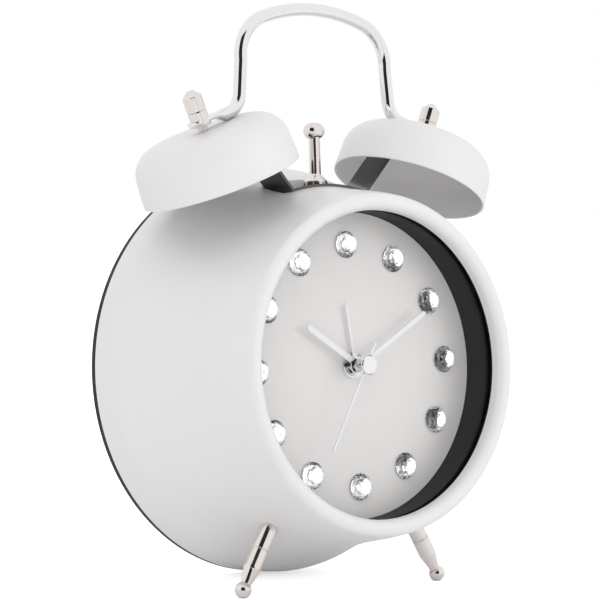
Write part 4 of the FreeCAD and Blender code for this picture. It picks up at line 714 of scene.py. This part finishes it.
def makeBells(s):
    inside = s["height"] - s["wall"]
    roll = s["shoulder"]
    drop = s["height"] - roll
    lip = s["wall"] / 2
    outline = [
        (s["hole"], s["height"]), (s["hole"], inside), (s["crown"], inside, roll - s["wall"], "right"),
        (s["crown"] + roll - s["wall"], drop), (s["rim"] - s["wall"], lip, lip, "left"),
        (s["rim"] - lip, 0, lip, "left"), (s["rim"], lip),
        (s["crown"] + roll, drop, roll, "left"), (s["crown"], s["height"]),
    ]
    for suffix, side in sides:
        piece = lathe("bell" + suffix, outline, bellPlace(s, side), steps=160, degreesPerStep=4)
        settle(wear(piece, bellEnamel), "clock", "bell_enamel", "bell_" + suffix.lower())


def nutOutline(s):
    lugTop = s["height"] + s["lug"]
    start, edge, groove = lugTop + s["nutGap"], s["nutEdge"], s["seam"]
    seam = lugTop + s["barrel"] / 2
    top = lugTop + s["barrel"]
    end = top + s["cone"]
    return [
        (0, start), (s["nut"] - edge, start, edge, "left"), (s["nut"], start + edge),
        (s["nut"], seam - groove), (s["nut"] - groove, seam), (s["nut"], seam + groove),
        (s["nut"], top - s["shoulderIn"], s["shoulderRound"], "left"),
        (s["nut"] - s["shoulderIn"], top + s["shoulderRise"]),
        (s["tip"] + s["tipOut"], end - s["tipRise"], s["tipRound"], "left"),
        (s["tip"] - s["tipIn"], end), (0, end),
    ]


def studOutline(s):
    edge = s["studEdge"]
    head = s["height"] - s["wall"] - s["stripWall"]
    start = head - s["studHeadDepth"]
    end = s["height"] + s["lug"] + s["studEntry"]
    return [
        (0, start), (s["studHead"] - edge, start, edge, "left"), (s["studHead"], start + edge),
        (s["studHead"], head), (s["stud"], head), (s["stud"], end), (0, end),
    ]


def makeBellFixings(s):
    nut, stud = nutOutline(s), studOutline(s)
    for suffix, side in sides:
        nodeSuffix = "_" + suffix.lower()
        piece = lathe("bellNut" + suffix, nut, bellPlace(s, side), closed=False, steps=64)
        settle(wear(piece, warmNickel), "clock", "nickel", "bell_nut" + nodeSuffix)
        piece = lathe("bellStud" + suffix, stud, bellPlace(s, side), closed=False, steps=48)
        settle(wear(piece, warmNickel), "clock", "nickel", "bell_stud" + nodeSuffix)


makeBells(bellSizes)
makeBellFixings(bellSizes)
wear(frame["nodes"]["bell_strip"], stripBlack)
softEdges(frame["nodes"]["bell_strip"], width=0.2, angle=30)
print("bells made")


# Handle

handleSizes = {
    "wire": 2.6, "top": 143.9, "shoulder": 17.5, "shoulderOut": 19.8, "shoulderUp": 123.0,
    "splay": 5.0, "bend": 9.0, "lug": 2.2, "lugHalf": 3.5, "lugEnd": 2.0, "tipLeast": 0.1,
    "flatStart": -12.5, "flatEnd": -5.8, "squareness": 0.62, "runSteps": 26, "around": 32,
}


def handleHalf(s, bell):
    # the wire's centre line on the right, from the top down to the bend over the bell's crown
    tilt, splay = math.radians(bell["tilt"]), math.radians(s["splay"])
    out, up, roll = s["shoulderOut"], s["shoulderUp"], s["shoulder"]
    reach = s["top"] - roll
    centre = (reach ** 2 - out ** 2 - up ** 2) / (2 * (reach - up))
    curve = s["top"] - centre
    share = roll / (curve - roll)
    meet = (out + out * share, up + (up - centre) * share)
    leg = (out + roll * math.cos(splay), up - roll * math.sin(splay))
    height = bell["height"] + s["wire"]
    seat = (bell["reach"] + height * math.sin(tilt), bell["rise"] + height * math.cos(tilt))
    above = (leg[0] - seat[0]) * math.sin(tilt) + (leg[1] - seat[1]) * math.cos(tilt)
    fall = above / math.cos(splay + tilt)
    corner = (leg[0] + fall * math.sin(splay), leg[1] - fall * math.cos(splay))
    trim = s["bend"] * math.tan((math.pi / 2 - splay - tilt) / 2)
    return [
        (0, s["top"], curve, "right"), (*meet, roll, "right"), leg,
        (corner[0] - trim * math.sin(splay), corner[1] + trim * math.cos(splay), s["bend"], "left"),
        (corner[0] + trim * math.cos(tilt), corner[1] - trim * math.sin(tilt)),
    ]


def handleSection(s, flat, half):
    # the wire's outline across: round where flat is 0, the pressed lug where it is 1
    thick = s["wire"] + (s["lug"] / 2 - s["wire"]) * flat
    drop = (s["wire"] - s["lug"] / 2) * flat
    power = 1.0 - s["squareness"] * flat
    section = []
    for k in range(s["around"]):
        angle = 2 * math.pi * k / s["around"]
        c, n = math.cos(angle), math.sin(angle)
        section.append((half * math.copysign(abs(c) ** power, c),
                        thick * math.copysign(abs(n) ** power, n) + drop))
    return section


def lugSection(s, toTip):
    # the section of the flattened end, at a distance from its round tip
    reach = s["lugEnd"] + s["lugHalf"] - toTip
    flat = min(max((reach - s["flatStart"]) / (s["flatEnd"] - s["flatStart"]), 0.0), 1.0)
    flat = flat * flat * (3 - 2 * flat)
    half = s["wire"] + (s["lugHalf"] - s["wire"]) * flat
    if toTip < s["lugHalf"]:
        half = math.sqrt(max(s["lugHalf"] ** 2 - (s["lugHalf"] - toTip) ** 2, s["tipLeast"] ** 2))
    return handleSection(s, flat, half)


def makeHandle(s, bell):
    wire = [Vector((p.x, bell["depth"], p.y)) for p in tracePath(handleHalf(s, bell), False, 4)]
    bendEnd = wire[-1]
    place = bellPlace(bell, 1)
    ahead = place.to_3x3() @ Vector((1, 0, 0))
    lugTip = place @ Vector((s["lugEnd"] + s["lugHalf"], 0, bell["height"] + s["wire"]))
    length = (lugTip - bendEnd).dot(ahead)
    run = [bendEnd + ahead * length * k / s["runSteps"] for k in range(1, s["runSteps"] + 1)]
    sections = [handleSection(s, 0.0, s["wire"]) for _ in wire]
    sections += [lugSection(s, length - (point - bendEnd).dot(ahead)) for point in run]
    path = wire + run
    mirrored = [Vector((-p.x, p.y, p.z)) for p in path[1:]]
    fullPath = list(reversed(mirrored)) + path
    fullSections = list(reversed(sections[1:])) + sections
    piece = sweepMesh(fullPath, fullSections, "bailHandle", inClock)
    settle(wear(piece, handleChrome), "clock", "handle_chrome", "handle")


makeHandle(handleSizes, bellSizes)
print("handle made")


# Hammer

hammerSizes = {
    "place": 21.0, "stripTop": 73.1, "washer": 0.9, "foot": 4.8, "footEdge": 0.2, "footBand": 0.6,
    "cone": 3.0, "coneOut": 0.4, "coneCurve": 1.2, "coneEase": 0.9, "stem": 2.3, "top": 95.0,
    "head": 3.45, "headHalf": 3.9, "faceShare": 0.62, "faceEdge": 0.2, "faceRound": 0.4,
    "faceOut": 0.15, "faceDepth": 0.25, "flankCurve": 1.1, "beltShare": 0.35,
}


def makeHammer(s):
    seat = s["stripTop"] + s["washer"]
    foot, edge, coneTop = s["foot"], s["footEdge"], seat + s["cone"]
    stem = [
        (0, seat), (foot - edge, seat, edge, "left"), (foot, seat + edge), (foot, seat + s["footBand"]),
        (s["stem"] + s["coneOut"], coneTop, s["coneCurve"], "right"),
        (s["stem"], coneTop + s["coneEase"]), (s["stem"], s["top"]), (0, s["top"]),
    ]
    piece = lathe("hammerStem", stem, Matrix.Translation((0, s["place"], 0)), closed=False, steps=64)
    settle(wear(piece, warmNickel), "clock", "nickel", "hammer_stem")
    half, radius = s["headHalf"], s["head"]
    face, belt, flank = radius * s["faceShare"], half * s["beltShare"], radius * s["flankCurve"]
    rim = face + s["faceOut"]
    head = [
        (0, -half), (face - s["faceEdge"], -half, s["faceRound"], "left"),
        (rim, s["faceDepth"] - half, flank, "left"), (radius, -belt), (radius, belt, flank, "left"),
        (rim, half - s["faceDepth"], s["faceRound"], "left"), (face - s["faceEdge"], half), (0, half),
    ]
    across = Matrix.Translation((0, s["place"], s["top"])) @ Matrix.Rotation(math.radians(90), 4, "Y")
    piece = lathe("hammerHead", head, across, closed=False, steps=64)
    settle(wear(piece, warmNickel), "clock", "nickel", "hammer_head")


makeHammer(hammerSizes)
wear(frame["nodes"]["hammer_washer"], warmNickel)
softEdges(frame["nodes"]["hammer_washer"], width=0.08, rounds=1)


# Feet

footSizes = {
    "angle": 30.3, "place": 11.5, "radius": 3.5, "start": 67.5, "collarEnd": 81.6, "shoulder": 90.0,
    "neck": 96.4, "neckRadius": 2.05, "ball": 98.9, "ballRadius": 3.35, "groove": 0.35,
    "collarEdge": 0.25, "legEdge": 0.15, "roundStart": 0.8, "roundIn": 0.25, "roundEnd": 0.6,
    "roundCurve": 2.4, "neckCurve": 0.5, "neckOut": 0.1, "neckEase": 0.3,
}


def collarOutline(s):
    radius, end, edge = s["radius"], s["collarEnd"], s["collarEdge"]
    return [(0, s["start"]), (radius, s["start"]), (radius, end - edge, edge, "left"),
            (radius - edge, end), (0, end)]


def legOutline(s):
    radius, inner, edge, ball = s["radius"], s["radius"] - s["groove"], s["legEdge"], s["ballRadius"]
    start = s["collarEnd"] + s["groove"]
    reach = math.sqrt(ball ** 2 - s["neckRadius"] ** 2)
    return [
        (0, s["collarEnd"]), (inner, s["collarEnd"]), (inner, start),
        (radius - edge, start, edge, "left"), (radius, start + edge),
        (radius, s["shoulder"] - s["roundStart"], s["roundCurve"], "left"),
        (radius - s["roundIn"], s["shoulder"] + s["roundEnd"]),
        (s["neckRadius"], s["neck"], s["neckCurve"], "right"),
        (s["neckRadius"] + s["neckOut"], s["ball"] - reach + s["neckEase"], ball, "left"),
        (ball, s["ball"], ball, "left"), (0, s["ball"] + ball),
    ]


def makeFeet(s):
    collar, leg = collarOutline(s), legOutline(s)
    for suffix, side in sides:
        spoke = (Matrix.Translation((0, s["place"], 0))
                 @ Matrix.Rotation(math.radians(side * (180 - s["angle"])), 4, "Y"))
        nodeSuffix = "_" + suffix.lower()
        piece = lathe("footCollar" + suffix, collar, spoke, closed=False, steps=64)
        settle(wear(piece, warmNickel), "clock", "nickel", "foot_collar" + nodeSuffix)
        piece = lathe("foot" + suffix, leg, spoke, closed=False, steps=64)
        # the ball rests on a small worn flat
        for vertex in piece.data.vertices:
            vertex.co.z = max(vertex.co.z, 0)
        settle(wear(piece, warmNickel), "clock", "nickel", "foot" + nodeSuffix)


makeFeet(footSizes)
print("hammer and feet made")


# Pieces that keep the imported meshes

nodeFinishes = {
    "rear_cover": coverBlack, "cover_lugs": screwSteel, "cover_screws": screwSteel,
    "hammer_nut": screwSteel, "foot_nut_left": screwSteel, "foot_nut_right": screwSteel,
    "module_housing": moduleBlack, "module_back": moduleBlack, "gear_plate": platePlastic,
    "minute_arbor": arborSkin, "motion_wheel": wheelPlastic, "hour_wheel": arborSkin,
    "second_wheel": arborSkin, "alarm_wheel": arborSkin, "time_knob": knobBlack,
    "alarm_knob": knobBlack, "alarm_switch": switchRed, "battery_door": moduleBlack,
    "battery": screwSteel, "battery_contacts": contactSteel, "circuit_board": boardGreen,
    "motor_coil": coilCopper, "buzzer": buzzerBlack,
}
for nodeName, material in nodeFinishes.items():
    wear(frame["nodes"][nodeName], material)
for nodeName in ("rear_cover", "module_back", "battery_door", "alarm_switch"):
    softEdges(frame["nodes"][nodeName], width=0.25)
print("packed pieces dressed")


# Studio: metres, degrees, and watts for the lamps

studio = {
    "cameraPlace": (-0.67378, -0.82462, 0.17138), "cameraTurn": (86.8814, -2.3389, -38.6528),
    "lens": 159.44, "floorWidth": 12, "floorTone": 0.92, "floorGlow": 0.6, "glossGlow": 0.05,
    "worldTone": 0.86, "cardPlace": (-1.40, -1.72, 1.15), "cardSize": (2.5, 3.1),
}
lamps = {
    "keyLamp": {"place": (-0.9, -0.7, 1.3), "aim": (0, 0, 0.12), "size": (0.9, 0.9), "power": 1.6},
    "fillLamp": {"place": (0.9, -1.25, 0.35), "aim": (0, 0, 0.12), "size": (0.9, 0.7), "power": 3.5},
    "lowLamp": {"place": (-0.75, -1.15, 0.1), "aim": (0, 0, 0.12), "size": (0.6, 0.4), "power": 1.9},
    "backLamp": {"place": (0.3, 1.0, 1.0), "aim": (0, 0, 0.15), "size": (0.8, 0.5), "power": 2},
}


def makeCamera(s):
    data = bpy.data.cameras.new("photoCamera")
    data.lens = s["lens"]
    data.sensor_width = 36
    camera = bpy.data.objects.new("photoCamera", data)
    bpy.context.scene.collection.objects.link(camera)
    camera.location = s["cameraPlace"]
    camera.rotation_euler = [math.radians(v) for v in s["cameraTurn"]]
    bpy.context.scene.camera = camera


def facing(place, aim):
    # the turn that points a lamp or a card at its aim
    return (Vector(aim) - Vector(place)).to_track_quat("-Z", "Y").to_euler()


def makeLamp(name, place, aim, size, power):
    # a soft lamp that the shiny pieces don't mirror
    data = bpy.data.lights.new(name, "AREA")
    data.shape = "RECTANGLE"
    data.size, data.size_y = size
    data.energy = power
    lamp = bpy.data.objects.new(name, data)
    bpy.context.scene.collection.objects.link(lamp)
    lamp.location = place
    lamp.rotation_euler = facing(place, aim)
    lamp.visible_glossy = False


def flatSheet(name, width, height):
    mesh = bmesh.new()
    bmesh.ops.create_grid(mesh, x_segments=1, y_segments=1, size=0.5)
    mesh.transform(Matrix.Diagonal((width, height, 1, 1)))
    made = bpy.data.meshes.new(name)
    mesh.to_mesh(made)
    mesh.free()
    sheet = bpy.data.objects.new(name, made)
    bpy.context.scene.collection.objects.link(sheet)
    return sheet


def seenStraight(tree, lightPath):
    # 1 for what the camera sees by itself or through glass
    return mathNode(tree, "MAXIMUM", lightPath.outputs["Is Camera Ray"],
                    lightPath.outputs["Is Transmission Ray"])


def makeFloor(s):
    floor = flatSheet("studioFloor", s["floorWidth"], s["floorWidth"])
    material, tree, surface = newMaterial("floorPaper")
    surface.inputs["Base Color"].default_value = (s["floorTone"],) * 3 + (1,)
    surface.inputs["Roughness"].default_value = 0.9
    surface.inputs["Specular IOR Level"].default_value = 0.1
    glow = node(tree, "ShaderNodeEmission")
    lightPath = node(tree, "ShaderNodeLightPath")
    mirrored = mathNode(tree, "MULTIPLY", lightPath.outputs["Is Glossy Ray"], s["glossGlow"])
    seen = mathNode(tree, "MULTIPLY", seenStraight(tree, lightPath), s["floorGlow"])
    tree.links.new(mathNode(tree, "MAXIMUM", seen, mirrored), glow.inputs["Strength"])
    both = node(tree, "ShaderNodeAddShader")
    tree.links.new(surface.outputs["BSDF"], both.inputs[0])
    tree.links.new(glow.outputs["Emission"], both.inputs[1])
    tree.links.new(both.outputs["Shader"], tree.nodes["Material Output"].inputs["Surface"])
    floor.data.materials.append(material)


def makeWorld(s):
    world = bpy.data.worlds.new("whiteRoom")
    bpy.context.scene.world = world
    world.use_nodes = True
    tree = world.node_tree
    background = tree.nodes["Background"]
    background.inputs["Color"].default_value = (1, 1, 1, 1)
    lightPath = node(tree, "ShaderNodeLightPath")
    seen = mathNode(tree, "MAXIMUM", seenStraight(tree, lightPath), lightPath.outputs["Is Glossy Ray"])
    strength = rangeNode(tree, seen, fromLow=0.0, fromHigh=1.0, toLow=s["worldTone"], toHigh=1.0)
    tree.links.new(strength, background.inputs["Strength"])


def makeCard(s):
    # a dark card outside the picture, for the dark streaks in the plated pieces
    card = flatSheet("cameraCard", *s["cardSize"])
    card.location = s["cardPlace"]
    card.rotation_euler = facing(s["cardPlace"], (0, 0, s["cardPlace"][2]))
    wear(card, paint("cardBlack", (0.01, 0.01, 0.01), 0.9))
    card.visible_diffuse = False
    card.visible_shadow = False
    card.visible_transmission = False


makeCamera(studio)
makeFloor(studio)
makeWorld(studio)
for lampName, settings in lamps.items():
    makeLamp(lampName, **settings)
makeCard(studio)
bpy.context.scene.view_settings.view_transform = "Standard"
print("studio made")
